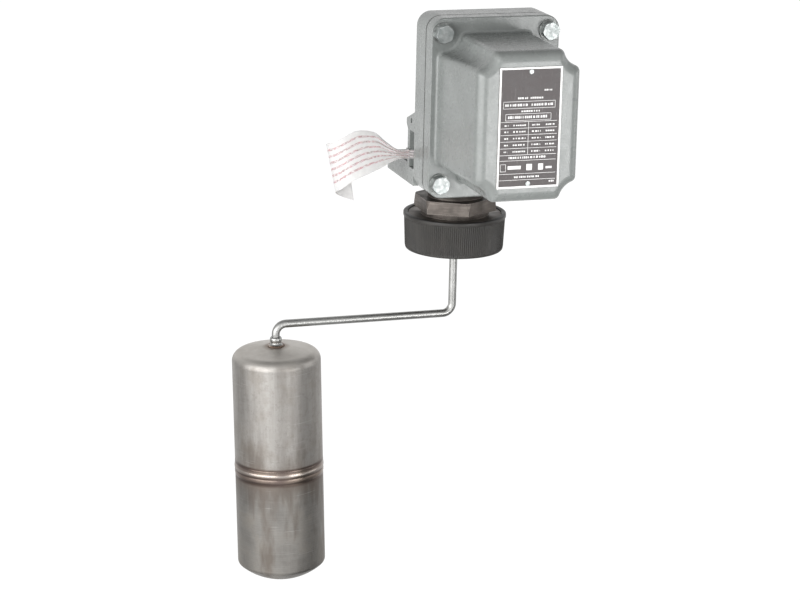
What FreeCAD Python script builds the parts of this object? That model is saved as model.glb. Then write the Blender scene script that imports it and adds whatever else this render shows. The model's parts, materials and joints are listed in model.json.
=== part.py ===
"""A float level switch for a closed tank: a screwed bushing with a ball lever, a bent rod with a
hollow float, and a cast enclosure behind whose back wall the lever turns the switch crank.

Millimetres, +Z up.  The origin is on the axis of the bushing, at the upper end of its pipe thread.
The cover faces -Y and the float arm reaches out along -X.
"""
import FreeCAD, Part
import os
import Sketcher
from FreeCAD import Placement, Rotation, Vector
from math import atan2, cos, radians, sin, tan

SIZES = {
    # pipe bushing
    "thread_d": 73.0, "thread_len": 26.0, "thread_taper": 0.8, "thread_drop": 1.0, "collar_d": 54.0,
    "hex_gap": 2.8, "hex_af": 57.15, "hex_len": 10.4, "neck_d": 44.0, "neck_len": 14.8,
    "spigot_d": 36.0, "spigot_len": 16.0, "seat_bore_d": 30.0, "throat_d": 32.0, "mouth_d": 21.0,
    "shoulder_t": 3.0, "edge": 0.8,
    # thread protector
    "rim_d": 81.2, "rim_h": 3.2, "rim_step": 0.6, "skirt_d": 77.4, "protector_len": 29.3,
    "protector_fit": 0.4,
    # ball lever and its seats
    "pivot_z": 4.0, "ball_d": 24.0, "seat_len": 11.0, "seat_hole_d": 19.0, "ball_gap": 0.1,
    "gland_len": 10.0, "gland_hole_d": 20.0, "gland_flare": 2.0, "pivot_pin_d": 4.0,
    "pivot_pin_len": 27.0,
    "stem_d": 9.0, "stem_top": 82.0, "stub_d": 12.0, "stub_len": 14.0, "lever_arm": 71.0,
    "lever_pin_d": 4.0, "lock_af": 46.0, "lock_t": 8.0,
    # rod and float
    "rod_d": 6.35, "rod_grip": 12.0, "jam_af": 11.1, "jam_t": 5.0, "elbow_z": -83.3,
    "arm_len": 145.5, "bend": 8.0, "drop_len": 14.0, "lean": 2.0, "boss_d": 9.4, "boss_len": 7.0,
    "float_d": 69.8, "float_top": 17.0, "crown": 5.0, "knuckle": 8.0, "seam_at": 120.1,
    "float_end": 196.3, "dish": 14.0, "dish_knuckle": 3.4, "plug_d": 7.0, "plug_h": 1.4,
    "float_wall": 0.9, "bead_w": 3.6, "bead_h": 0.5,
    # enclosure
    "box_x": 8.0, "box_low": 25.85, "box_w": 102.0, "box_h": 138.5, "corner": 11.0,
    "back_y": -24.0, "base_d": 22.0, "wall": 4.0, "gasket_t": 1.5, "flange_t": 12.5,
    "bolt_in_x": 8.7, "bolt_in_z": 11.45, "boss_r": 7.6, "bolt_d": 7.9, "bolt_af": 12.7,
    "head_t": 5.3, "bolt_reach": 12.0, "washer_d": 16.0, "washer_t": 1.6,
    "dome_in_x": 4.6, "dome_in_z": 12.25, "dome_d": 77.4, "face_in_x": 6.7, "face_in_z": 0.7,
    "scoop_r": 15.0, "face_round": 8.0, "side_round": 4.5, "root_round": 2.2, "flange_round": 1.0,
    "skin": 3.5, "gasket_cut": 21.0,
    "plate_w": 48.6, "plate_h": 89.9, "plate_t": 0.6, "plate_pin_d": 3.6, "plate_pin_in": 3.3,
    "hub_d": 26.0, "hub_out": 9.0, "conduit_d": 21.3, "conduit_z": 60.0, "conduit_y": -33.0,
    # rear shroud of the base casting
    "cheek_t": 4.0, "cheek_back": 48.0, "cheek_low": 29.6, "cheek_end_low": 31.5,
    "cheek_top": 41.0, "lip_run": 6.0, "lip_rise": 4.0, "floor_t": 5.0, "post_back": -8.0,
    "post_w": 5.0, "lug_low": 70.0, "lug_top": 86.0, "lug_back": -4.5, "lug_slope": 8.0,
    "lug_bend": 4.0, "lug_hole_d": 4.0, "eye_in": 2.0,
    # switch drive
    "shaft_z": 104.0, "shaft_d": 8.0, "run_fit": 0.05, "bearing_d": 14.0, "bearing_flange_d": 19.0,
    "bearing_flange_t": 2.0, "bearing_in": 4.0, "crank_t": 8.0, "crank_hub_d": 17.0,
    "fork_w": 14.0, "fork_slot": 5.4, "fork_len": 39.0, "fork_t": 5.0, "side_play": 0.3,
    "cam_arm": 14.0, "cam_t": 4.0, "cam_hub_d": 14.0, "cam_pin_d": 4.0, "clip_t": 1.2,
    "clip_d": 13.0,
    # contact block
    "block_left": -14.0, "block_right": 43.0, "block_low": 56.0, "block_h": 34.0,
    "block_d": 22.0, "channel_h": 10.0, "channel_d": 8.0, "slide_fit": 0.3, "carrier_out": 0.4,
    "carrier_left": -9.0, "carrier_right": 36.0, "tail_w": 10.0, "tail_room": 1.0, "cam_room": 2.0,
    "travel": 5.8, "pole_one": 15.0, "pole_pitch": 14.0, "contact_t": 1.0, "contact_span": 18.0,
    "contact_d": 5.6, "strip_t": 1.2, "tab_w": 6.0, "tab_in": 1.0, "tab_end": 0.5,
    "open_gap": 6.4, "terminal_d": 5.6, "terminal_pitch": 26.0, "screw_d": 3.6,
    "screw_head_d": 7.0, "screw_head_t": 2.6, "screw_in": 4.9, "screw_up": 4.2,
    "ground_head_d": 8.4, "ground_in": 25.0, "ground_up": 19.15,
    # inspection tag tied round the post
    "tag_t": 0.8, "tag_reach": 64.0, "tag_w": 37.0, "tag_z": 51.0, "tail_h": 8.0, "tag_gap": 0.35,
}

doc = FreeCAD.newDocument("float_level_switch")
sheet = doc.addObject("Spreadsheet::Sheet", "Sizes")


class Size:
    """A length that knows its formula in the sheet and its value."""

    def __init__(self, text, value):
        self.text = text
        self.value = value

    def __add__(self, other):
        other = as_size(other)
        return Size(f"({self.text} + {other.text})", self.value + other.value)

    def __sub__(self, other):
        other = as_size(other)
        return Size(f"({self.text} - {other.text})", self.value - other.value)

    def __mul__(self, other):
        other = as_size(other)
        return Size(f"({self.text} * {other.text})", self.value * other.value)

    def __truediv__(self, other):
        other = as_size(other)
        return Size(f"({self.text} / {other.text})", self.value / other.value)

    def __neg__(self):
        return self * -1


def as_size(number):
    return number if isinstance(number, Size) else Size(repr(float(number)), float(number))


class Named:
    """The driving sizes, by name."""


s = Named()
for row, (alias, value) in enumerate(SIZES.items(), start=1):
    sheet.set(f"A{row}", alias)
    sheet.set(f"B{row}", str(value))
    sheet.setAlias(f"B{row}", alias)
    setattr(s, alias, Size(f"Sizes.{alias}", value))
doc.recompute()

AXIS_TURN = {
    "Z": Rotation(), "-Z": Rotation(Vector(1, 0, 0), 180),
    "X": Rotation(Vector(0, 1, 0), 90), "-X": Rotation(Vector(0, 1, 0), -90),
    "Y": Rotation(Vector(1, 0, 0), -90), "-Y": Rotation(Vector(1, 0, 0), 90),
}
CLOSE = 0.01  # lengths nearer than this are the same
PLANE_ROLE = {"XY": "XY_Plane", "XZ": "XZ_Plane", "YZ": "YZ_Plane"}
nodes = []


def bind(obj, prop, size):
    """Ties a property to the sheet."""
    obj.setExpression(prop, as_size(size).text)


def place(obj, at, axis="Z", turn=0):
    obj.Placement = Placement(Vector(), AXIS_TURN[axis] * Rotation(Vector(0, 0, 1), turn))
    for letter, size in zip("xyz", at):
        bind(obj, f"Placement.Base.{letter}", size)


def node(obj, label):
    """Marks a finished sub-part; its label names its file."""
    obj.Label = label
    nodes.append(obj)
    return obj


# ---- Part primitives -------------------------------------------------------------------------

def cylinder(name, diameter, length, at, axis="Z"):
    obj = doc.addObject("Part::Cylinder", name)
    bind(obj, "Radius", as_size(diameter) / 2)
    bind(obj, "Height", length)
    place(obj, at, axis)
    return obj


def cone(name, d_start, d_end, length, at, axis="Z"):
    obj = doc.addObject("Part::Cone", name)
    bind(obj, "Radius1", as_size(d_start) / 2)
    bind(obj, "Radius2", as_size(d_end) / 2)
    bind(obj, "Height", length)
    place(obj, at, axis)
    return obj


def block(name, low, high):
    """A box between two corners."""
    obj = doc.addObject("Part::Box", name)
    for prop, a, b in zip(("Length", "Width", "Height"), low, high):
        bind(obj, prop, as_size(b) - a)
    place(obj, low)
    return obj


def hex_prism(name, across_flats, length, at, axis="Z", turn=0):
    """A hexagon given across its flats, with a corner at `turn` degrees."""
    obj = doc.addObject("Part::Prism", name)
    obj.Polygon = 6
    bind(obj, "Circumradius", as_size(across_flats) / 3 ** 0.5)
    bind(obj, "Height", length)
    place(obj, at, axis, turn)
    return obj


def bevelled_hex(name, across_flats, length, bevel, at, axis="Z", turn=0):
    """A hexagon whose far corners are turned off by a cone."""
    across_corners = as_size(across_flats) * 2 / 3 ** 0.5
    trimmed = doc.addObject("Part::Common", name)
    trimmed.Base = hex_prism(name + "_prism", across_flats, length, at, axis, turn)
    trimmed.Tool = cone(name + "_bevel", across_corners + bevel, across_corners - as_size(bevel) * 3,
                        length, at, axis)
    return trimmed


def sphere(name, diameter, at):
    obj = doc.addObject("Part::Sphere", name)
    bind(obj, "Radius", as_size(diameter) / 2)
    place(obj, at)
    return obj


def fuse(name, *pieces):
    obj = doc.addObject("Part::MultiFuse", name)
    obj.Shapes = list(pieces)
    obj.Refine = True
    return obj


def cut(name, base, *tools):
    obj = doc.addObject("Part::Cut", name)
    obj.Base = base
    obj.Tool = tools[0] if len(tools) == 1 else fuse(name + "_tools", *tools)
    return obj


# ---- PartDesign helpers ----------------------------------------------------------------------

def new_body(name):
    return doc.addObject("PartDesign::Body", name)


def sketch(body, name, plane, offset=0):
    """A sketch on one of the body's own origin planes, raised along that plane's normal."""
    flat = body.newObject("Sketcher::SketchObject", name)
    origin_plane = [f for f in body.Origin.OriginFeatures if f.Role == PLANE_ROLE[plane]][0]
    flat.AttachmentSupport = [(origin_plane, "")]
    flat.MapMode = "FlatFace"
    bind(flat, "AttachmentOffset.Base.z", offset)
    return flat


def dished_side(a, b):
    """The arc from a to b about a centre on the vertical axis, and whether it runs from a to b."""
    centre = Vector(0, (a.x ** 2 + a.y ** 2 - b.x ** 2 - b.y ** 2) / (2 * (a.y - b.y)), 0)
    whole = Part.Circle(centre, Vector(0, 0, 1), (a - centre).Length)
    turns = [atan2(p.y - centre.y, p.x) for p in (a, b)]
    return Part.ArcOfCircle(whole, min(turns), max(turns)), turns[0] < turns[1]


def polygon(flat, points, dished=()):
    """A closed outline through points, each held by its own two distances from the origin.

    The sides numbered in `dished` are arcs about the vertical axis.
    """
    first = flat.GeometryCount
    count = len(points)
    spots = [Vector(as_size(a).value, as_size(b).value, 0) for a, b in points]
    ends = []
    for i in range(count):
        side, forward = Part.LineSegment(spots[i], spots[(i + 1) % count]), True
        if i in dished:
            side, forward = dished_side(spots[i], spots[(i + 1) % count])
        flat.addGeometry(side, False)
        ends.append((1, 2) if forward else (2, 1))
    for i in range(count):
        after = (i + 1) % count
        flat.addConstraint(Sketcher.Constraint("Coincident", first + i, ends[i][1], first + after,
                                               ends[after][0]))
    for i in dished:
        flat.addConstraint(Sketcher.Constraint("PointOnObject", first + i, 3, -2))
    for i, pair in enumerate(points):
        for kind, size in zip(("DistanceX", "DistanceY"), pair):
            size = as_size(size)
            at = flat.addConstraint(Sketcher.Constraint(kind, -1, 1, first + i, ends[i][0], size.value))
            flat.setExpression(f"Constraints[{at}]", size.text)


def circle(flat, x, y, diameter):
    x, y, radius = as_size(x), as_size(y), as_size(diameter) / 2
    at = flat.addGeometry(Part.Circle(Vector(x.value, y.value, 0), Vector(0, 0, 1), radius.value), False)
    for kind, size in (("DistanceX", x), ("DistanceY", y)):
        held = flat.addConstraint(Sketcher.Constraint(kind, -1, 1, at, 3, size.value))
        flat.setExpression(f"Constraints[{held}]", size.text)
    held = flat.addConstraint(Sketcher.Constraint("Radius", at, radius.value))
    flat.setExpression(f"Constraints[{held}]", radius.text)


def rectangle(flat, x, y, width, height):
    """A rectangle about a centre."""
    left, right = x - width / 2, x + width / 2
    low, high = y - height / 2, y + height / 2
    polygon(flat, [(left, low), (right, low), (right, high), (left, high)])


def pad(body, flat, length, name, backwards=False):
    feature = body.newObject("PartDesign::Pad", name)
    feature.Profile = flat
    feature.Reversed = backwards
    bind(feature, "Length", length)
    return feature


def pocket(body, flat, depth, name, backwards=False):
    feature = body.newObject("PartDesign::Pocket", name)
    feature.Profile = flat
    feature.Reversed = backwards
    bind(feature, "Length", depth)
    return feature


def revolve(body, flat, name):
    feature = body.newObject("PartDesign::Revolution", name)
    feature.Profile = flat
    feature.ReferenceAxis = (flat, ["V_Axis"])
    feature.Angle = 360
    return feature


def round_edges(body, radius, name, wanted):
    """Fillets the edges of the body's tip for which `wanted` is true."""
    doc.recompute()
    tip = body.Tip
    names = [f"Edge{i}" for i, edge in enumerate(tip.Shape.Edges, start=1) if wanted(edge)]
    feature = body.newObject("PartDesign::Fillet", name)
    feature.Base = (tip, names)
    bind(feature, "Radius", radius)
    return feature


def runs_along(edge, axis):
    """True for a straight edge parallel to an axis."""
    ends = [vertex.Point for vertex in edge.Vertexes]
    if len(ends) < 2:
        return False
    along = abs((ends[1] - ends[0]).dot(axis))
    return along > 0 and abs(along - edge.Length) < CLOSE ** 3


def lies_on(edge, letter, value):
    """True for an edge whose points all have the given coordinate."""
    low = getattr(edge.BoundBox, letter + "Min")
    high = getattr(edge.BoundBox, letter + "Max")
    return abs(low - value) < CLOSE ** 2 and abs(high - value) < CLOSE ** 2


# ---- shared places ---------------------------------------------------------------------------

hex_low = s.hex_gap
hex_top = hex_low + s.hex_len
neck_top = hex_top + s.neck_len
spigot_top = neck_top + s.spigot_len
seat_low = s.pivot_z - s.seat_len
seat_top = s.pivot_z + s.seat_len
thread_top = -s.thread_drop
thread_low = thread_top - s.thread_len
stub_low = s.pivot_z - s.ball_d / 2 - s.stub_len
rod_top = stub_low + s.rod_grip
pin_z = s.pivot_z + s.lever_arm
base_front = s.back_y - s.base_d
flange_back = base_front - s.gasket_t
flange_front = flange_back - s.flange_t
face_y = flange_front - s.dome_d
inner_y = s.back_y - s.wall
floor_low = neck_top
floor_top = floor_low + s.floor_t
left_x = s.box_x - s.box_w / 2
right_x = s.box_x + s.box_w / 2
box_z = s.box_low + s.box_h / 2
bolt_dx = s.box_w / 2 - s.bolt_in_x
bolt_dz = s.box_h / 2 - s.bolt_in_z
dome_w = s.box_w - s.dome_in_x * 2
dome_h = s.box_h - s.dome_in_z * 2
face_w = dome_w - s.face_in_x * 2
face_h = dome_h - s.face_in_z * 2
bolt_spots = [(s.box_x + bolt_dx * i, box_z + bolt_dz * j) for i in (-1, 1) for j in (-1, 1)]
channel_z = s.block_low + s.block_h / 2
block_front = inner_y - s.block_d
cam_back = inner_y - s.bearing_in - s.clip_t - s.side_play * 2
cam_pin_z = s.shaft_z - s.cam_arm
block_top = s.block_low + s.block_h
carrier_front = block_front - s.carrier_out


# ---- bushing and protector -------------------------------------------------------------------

def bushing():
    """One turned piece: tapered pipe thread, hexagon, neck and a spigot for the lock nut."""
    thread = cone("thread", s.thread_d - s.thread_taper * 2, s.thread_d, s.thread_len, (0, 0, thread_low))
    collar = cylinder("collar", s.collar_d, hex_low - thread_top, (0, 0, thread_top))
    head = bevelled_hex("hexagon", s.hex_af, s.hex_len, s.edge, (0, 0, hex_low), turn=90)
    neck = cylinder("neck", s.neck_d, s.neck_len, (0, 0, hex_top))
    spigot = cylinder("spigot", s.spigot_d, s.spigot_len, (0, 0, neck_top))
    outside = fuse("bushing_outside", thread, collar, head, neck, spigot)
    bore = cylinder("seat_bore", s.seat_bore_d, spigot_top - seat_low, (0, 0, seat_low))
    mouth = cylinder("mouth", s.mouth_d, s.shoulder_t, (0, 0, seat_low - s.shoulder_t))
    throat_top = seat_low - s.shoulder_t
    throat = cylinder("throat", s.throat_d, throat_top - thread_low, (0, 0, thread_low))
    node(cut("bushing_solid", outside, bore, mouth, throat), "bushing")


def thread_protector():
    """A moulded ring over the pipe thread, open at both ends, with a rim and a tapering skirt."""
    body = new_body("protector")
    flat = sketch(body, "protector_profile", "XZ")
    bore_r = s.thread_d / 2 + s.protector_fit
    rim_r, skirt_r = s.rim_d / 2, s.skirt_d / 2
    low = -s.protector_len
    small = s.edge / 2
    polygon(flat, [(bore_r, low + small), (bore_r + small, low), (skirt_r - small, low),
                   (skirt_r, low + small), (rim_r - s.rim_step, -s.rim_h), (rim_r, -s.rim_h + small),
                   (rim_r, -s.edge), (rim_r - s.edge, 0), (bore_r + s.edge, 0), (bore_r, -s.edge)])
    revolve(body, flat, "protector_ring")
    node(body, "thread_protector")


def lock_nut():
    solid = hex_prism("lock_hexagon", s.lock_af, s.lock_t, (0, 0, floor_top), turn=0)
    hole = cylinder("lock_hole", s.spigot_d, s.lock_t, (0, 0, floor_top))
    node(cut("lock_nut_solid", solid, hole), "lock_nut")


# ---- ball lever ------------------------------------------------------------------------------

def seat(name, low):
    """A ring with a spherical pocket and a half-round groove for the pivot pin."""
    ring = cylinder(name + "_ring", s.seat_bore_d, s.seat_len, (0, 0, low))
    hole = cylinder(name + "_hole", s.seat_hole_d, s.seat_len, (0, 0, low))
    pocket_ball = sphere(name + "_pocket", s.ball_d + s.ball_gap * 2, (0, 0, s.pivot_z))
    groove = cylinder(name + "_groove", s.pivot_pin_d + s.ball_gap * 2, s.seat_bore_d,
                      (0, s.seat_bore_d / 2, s.pivot_z), "-Y")
    node(cut(name + "_solid", ring, hole, pocket_ball, groove), name)


def gland_nut():
    nut = cylinder("gland_ring", s.seat_bore_d, s.gland_len, (0, 0, seat_top))
    hole = cone("gland_hole", s.gland_hole_d - s.gland_flare, s.gland_hole_d + s.gland_flare,
                s.gland_len, (0, 0, seat_top))
    slot_half = s.pivot_pin_d / 2
    slot = block("gland_slot", (-s.seat_bore_d, -slot_half, seat_top + s.gland_len - s.pivot_pin_d / 2),
                 (s.seat_bore_d, slot_half, seat_top + s.gland_len))
    node(cut("gland_solid", nut, hole, slot), "gland_nut")


def ball_lever():
    """The ball with its upper stem, flattened at the top, and a lower stub bored for the rod."""
    ball = sphere("ball", s.ball_d, (0, 0, s.pivot_z))
    stem = cylinder("stem", s.stem_d, s.stem_top - s.pivot_z, (0, 0, s.pivot_z))
    stub = cylinder("stub", s.stub_d, s.pivot_z - stub_low, (0, 0, stub_low))
    solid = fuse("lever_solid", ball, stem, stub)
    socket = cylinder("rod_socket", s.rod_d, s.rod_grip, (0, 0, stub_low))
    pin_hole = cylinder("pivot_hole", s.pivot_pin_d, s.seat_bore_d, (0, s.seat_bore_d / 2, s.pivot_z), "-Y")
    top_hole = cylinder("top_hole", s.lever_pin_d, s.stem_d * 2, (0, s.stem_d, pin_z), "-Y")
    flat_low = pin_z - s.stem_d
    flats = [block(f"stem_flat_{i}", (-s.stem_d, a, flat_low), (s.stem_d, b, s.stem_top))
             for i, (a, b) in enumerate(((-s.stem_d, -s.stem_d / 3), (s.stem_d / 3, s.stem_d)))]
    node(cut("ball_lever_solid", solid, socket, pin_hole, top_hole, *flats), "ball_lever")


def lever_pins():
    half = s.pivot_pin_len / 2
    node(cylinder("pivot_pin_solid", s.pivot_pin_d, s.pivot_pin_len, (0, half, s.pivot_z), "-Y"),
         "pivot_pin")
    start = s.stem_d / 3
    reach = start - crank_front() + s.side_play
    node(cylinder("lever_pin_solid", s.lever_pin_d, reach, (0, start, pin_z), "-Y"), "lever_pin")


# ---- rod and float ---------------------------------------------------------------------------

def jam_nut():
    solid = hex_prism("jam_hexagon", s.jam_af, s.jam_t, (0, 0, stub_low - s.jam_t))
    hole = cylinder("jam_hole", s.rod_d, s.jam_t, (0, 0, stub_low - s.jam_t))
    node(cut("jam_nut_solid", solid, hole), "rod_jam_nut")


def bend_points(corner, before, after, radius):
    """Start, middle and end of the arc that rounds a corner of the path."""
    a = (before - corner).normalize()
    b = (after - corner).normalize()
    half = a.getAngle(b) / 2
    run = radius / tan(half)
    centre = corner + (a + b).normalize() * (radius / sin(half))
    middle = centre + (corner - centre).normalize() * radius
    return corner + a * run, middle, corner + b * run


def float_rod():
    """Round bar bent twice: down from the lever, out along the arm, and down into the float."""
    tilt = radians(s.lean.value)
    elbow = Vector(0, 0, s.elbow_z.value)
    turn = Vector(-s.arm_len.value, 0, s.elbow_z.value)
    top = Vector(0, 0, rod_top.value)
    tip = turn + Vector(sin(tilt), 0, -cos(tilt)) * s.drop_len.value
    first = bend_points(elbow, top, turn, s.bend.value)
    second = bend_points(turn, elbow, tip, s.bend.value)
    path = Part.Wire([Part.LineSegment(top, first[0]).toShape(), Part.Arc(*first).toShape(),
                      Part.LineSegment(first[2], second[0]).toShape(), Part.Arc(*second).toShape(),
                      Part.LineSegment(second[2], tip).toShape()])
    section = Part.Wire([Part.makeCircle(s.rod_d.value / 2, top, Vector(0, 0, -1))])
    rod = doc.addObject("Part::Feature", "rod_sweep")
    rod.Shape = path.makePipeShell([section], True, True)
    node(rod, "float_rod")


def hang(body):
    """Carries a float piece to the rod's second bend and leans it with the rod's end."""
    spot = Vector(-s.arm_len.value, 0, s.elbow_z.value)
    body.Placement = Placement(spot, Rotation(Vector(0, 1, 0), -s.lean.value))


def turned(name, points, dished=()):
    """A piece of the float, turned about its own axis."""
    body = new_body(name)
    flat = sketch(body, name + "_profile", "XZ")
    polygon(flat, points, dished)
    revolve(body, flat, name + "_turned")
    return body


def float_boss():
    """Sleeve welded to the crown of the float and over the rod's end."""
    bore, out = s.rod_d / 2, s.boss_d / 2
    low = -s.float_top
    top = low + s.boss_len
    body = turned("boss", [(bore, top), (out - s.edge / 2, top), (out, top - s.edge / 2),
                           (out, low + s.edge * 2), (out + s.edge * 2, low), (bore, low)])
    hang(body)
    node(body, "float_boss")


def rim_at(size):
    """Picks the round edge at a height along the float's axis, away from the axis."""
    inside = (s.float_d - s.float_wall * 3).value
    return lambda e: lies_on(e, "Z", size.value) and e.BoundBox.XLength > inside


def float_cups():
    """Two thin drawn cups, hollow, butt-welded at the seam; the lower one has a dished end."""
    radius, wall = s.float_d / 2, s.float_wall
    top, seam, end = -s.float_top, -s.seam_at, -s.float_end
    shoulder = top - s.crown
    upper = turned("upper", [(0, top), (s.boss_d / 2, top), (radius, shoulder), (radius, seam),
                             (radius - wall, seam), (radius - wall, shoulder - wall),
                             (s.boss_d / 2, top - wall), (0, top - wall)])
    round_edges(upper, s.knuckle, "upper_knuckle", rim_at(shoulder))
    round_edges(upper, s.knuckle - wall, "upper_inner_knuckle", rim_at(shoulder - wall))
    hang(upper)
    node(upper, "float_upper_cup")
    deep, plug_r = end - s.dish, s.plug_d / 2
    lower = turned("lower", [(0, deep - s.plug_h), (plug_r - s.plug_h, deep - s.plug_h),
                             (plug_r, deep), (radius, end), (radius, seam), (radius - wall, seam),
                             (radius - wall, end), (0, deep + wall)], dished=(2, 6))
    round_edges(lower, s.dish_knuckle, "lower_knuckle",
                lambda e: rim_at(end)(e) and e.BoundBox.XLength > (s.float_d - wall).value)
    round_edges(lower, s.dish_knuckle - wall, "lower_inner_knuckle", rim_at(end))
    hang(lower)
    node(lower, "float_lower_cup")


def seam_bead():
    """The weld bead that runs round the seam, slightly proud of the float."""
    radius, half = s.float_d / 2, s.bead_w / 2
    seam = -s.seam_at
    body = turned("bead", [(radius, seam - half), (radius + s.bead_h, seam - half / 2),
                           (radius + s.bead_h, seam + half / 2), (radius, seam + half)])
    hang(body)
    node(body, "seam_bead")


# ---- enclosure -------------------------------------------------------------------------------

def plate_sketch(body, name, at_y, shrink=0):
    """The enclosure's rectangle, drawn at a depth along Y."""
    flat = sketch(body, name, "XZ", -as_size(at_y))
    rectangle(flat, s.box_x, box_z, s.box_w - as_size(shrink) * 2, s.box_h - as_size(shrink) * 2)
    return flat


def upright(edge):
    return runs_along(edge, Vector(0, 1, 0))


def enclosure_base():
    """The rear casting: a shallow box with bosses, and a shroud behind it that holds the bushing."""
    body = new_body("base")
    pad(body, plate_sketch(body, "base_outline", s.back_y), s.base_d, "base_block")
    round_edges(body, s.corner, "base_corners", upright)
    well = plate_sketch(body, "base_well", base_front, s.wall)
    pocket(body, well, s.base_d - s.wall, "base_hollow")
    round_edges(body, s.corner - s.wall, "well_corners",
                lambda e: upright(e) and e.Length < s.base_d.value - CLOSE)
    bosses = sketch(body, "boss_circles", "XZ", -inner_y)
    for x, z in bolt_spots:
        circle(bosses, x, z, s.boss_r * 2)
    pad(body, bosses, s.base_d - s.wall, "base_bosses")
    shroud(body)
    holes = sketch(body, "bolt_holes", "XZ", -base_front)
    for x, z in bolt_spots:
        circle(holes, x, z, s.bolt_d)
    pocket(body, holes, s.bolt_reach + s.edge, "bolt_taps")
    conduit_hub(body)
    bearing = sketch(body, "bearing_circle", "XZ", -inner_y)
    circle(bearing, 0, s.shaft_z, s.bearing_d)
    pocket(body, bearing, s.wall, "bearing_hole")
    node(body, "enclosure_base")


def shroud(body):
    """Two cheeks, a floor round the bushing's spigot and a back bar, open above."""
    slope_start = s.cheek_back - s.lip_run
    bar_low = s.cheek_end_low + s.lip_rise
    for name, x in (("left", left_x), ("right", right_x - s.cheek_t)):
        flat = sketch(body, name + "_cheek", "YZ", x)
        polygon(flat, [(s.back_y, s.cheek_low), (slope_start, s.cheek_end_low), (s.cheek_back, bar_low),
                       (s.cheek_back, s.cheek_top), (s.back_y, s.cheek_top)])
        pad(body, flat, s.cheek_t, name + "_cheek_wall")
    floor = sketch(body, "shroud_floor", "XY", floor_low)
    polygon(floor, [(left_x, s.back_y), (right_x, s.back_y), (right_x, slope_start),
                    (left_x, slope_start)])
    pad(body, floor, s.floor_t, "floor_plate")
    bar = sketch(body, "back_bar", "XZ", -s.cheek_back)
    rectangle(bar, s.box_x, (bar_low + s.cheek_top) / 2, s.box_w, s.cheek_top - bar_low)
    pad(body, bar, s.cheek_t, "back_bar_wall")
    web = sketch(body, "floor_edge", "YZ", left_x)
    polygon(web, [(slope_start, s.cheek_end_low), (s.cheek_back, bar_low),
                  (s.cheek_back, bar_low + s.cheek_t), (slope_start, floor_top)])
    pad(body, web, s.box_w, "floor_lip")
    post_front = s.post_back - s.post_w
    post = sketch(body, "post_outline", "YZ", left_x)
    polygon(post, [(s.back_y, s.lug_low), (post_front, s.lug_low), (post_front, s.cheek_top),
                   (s.post_back, s.cheek_top), (s.post_back, s.lug_low),
                   (s.lug_back, s.lug_low + s.lug_bend), (s.lug_back, s.lug_top - s.lug_slope),
                   (s.back_y, s.lug_top)])
    pad(body, post, s.cheek_t, "post_and_lug")
    eye = sketch(body, "lug_eye", "YZ", left_x + s.cheek_t)
    circle(eye, (s.back_y + s.lug_back) / 2 - s.eye_in, (s.lug_low + s.lug_top) / 2, s.lug_hole_d)
    pocket(body, eye, s.cheek_t, "lug_hole")
    hole = sketch(body, "spigot_circle", "XY", floor_top)
    circle(hole, 0, 0, s.spigot_d)
    pocket(body, hole, s.floor_t, "spigot_hole")


def conduit_hub(body):
    """A round hub on the right side, bored for a half-inch conduit."""
    boss = sketch(body, "hub_circle", "YZ", right_x - s.wall)
    circle(boss, s.conduit_y, s.conduit_z, s.hub_d)
    pad(body, boss, s.hub_out + s.wall, "hub_boss")
    bore = sketch(body, "conduit_circle", "YZ", right_x + s.hub_out)
    circle(bore, s.conduit_y, s.conduit_z, s.conduit_d)
    pocket(body, bore, s.hub_out + s.wall, "conduit_bore")


def cover_gasket():
    """A flat gasket whose window leaves a land round each bolt."""
    body = new_body("gasket")
    pad(body, plate_sketch(body, "gasket_outline", base_front), s.gasket_t, "gasket_block")
    round_edges(body, s.corner, "gasket_corners", upright)
    window = sketch(body, "gasket_window", "XZ", -flange_back)
    across, up = dome_w / 2 - s.skin, dome_h / 2 - s.skin
    side, top = across - s.gasket_cut, up - s.gasket_cut
    corners = [(across, top), (side, up), (-side, up), (-across, top),
               (-across, -top), (-side, -up), (side, -up), (across, -top)]
    polygon(window, [(s.box_x + a, box_z + b) for a, b in corners])
    for x, z in bolt_spots:
        circle(window, x, z, s.bolt_d + s.edge)
    pocket(body, window, s.gasket_t, "gasket_opening")
    node(body, "cover_gasket")


def dome(name, front, inset, side_round, face_round):
    """The tapering dome in front of the gasket, with a scoop round each bolt, rounded all over."""
    body = new_body(name)
    root = sketch(body, name + "_root", "XZ", -flange_back)
    rectangle(root, s.box_x, box_z, dome_w - inset * 2, dome_h - inset * 2)
    face = sketch(body, name + "_face", "XZ", -front)
    rectangle(face, s.box_x, box_z, face_w - inset * 2, face_h - inset * 2)
    loft = body.newObject("PartDesign::AdditiveLoft", name + "_loft")
    loft.Profile = root
    loft.Sections = [face]
    loft.Ruled = True
    scoops = sketch(body, name + "_scoops", "XZ", -front)
    for x, z in bolt_spots:
        circle(scoops, x, z, (s.scoop_r + inset) * 2)
    pocket(body, scoops, flange_back - front, name + "_scooped")
    round_edges(body, side_round, name + "_sides",
                lambda e: e.BoundBox.YLength > (flange_back - front).value / 2)
    round_edges(body, face_round, name + "_face_rim", lambda e: lies_on(e, "Y", front.value))
    return body


def on_flange_rim(edge):
    """True for an edge of the flange's front face that lies on its outline."""
    if not lies_on(edge, "Y", flange_front.value):
        return False
    box = edge.BoundBox
    reach = max(abs(box.XMin - s.box_x.value), abs(box.XMax - s.box_x.value)) + CLOSE
    rise = max(abs(box.ZMin - box_z.value), abs(box.ZMax - box_z.value)) + CLOSE
    return reach > s.box_w.value / 2 or rise > s.box_h.value / 2


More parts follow.
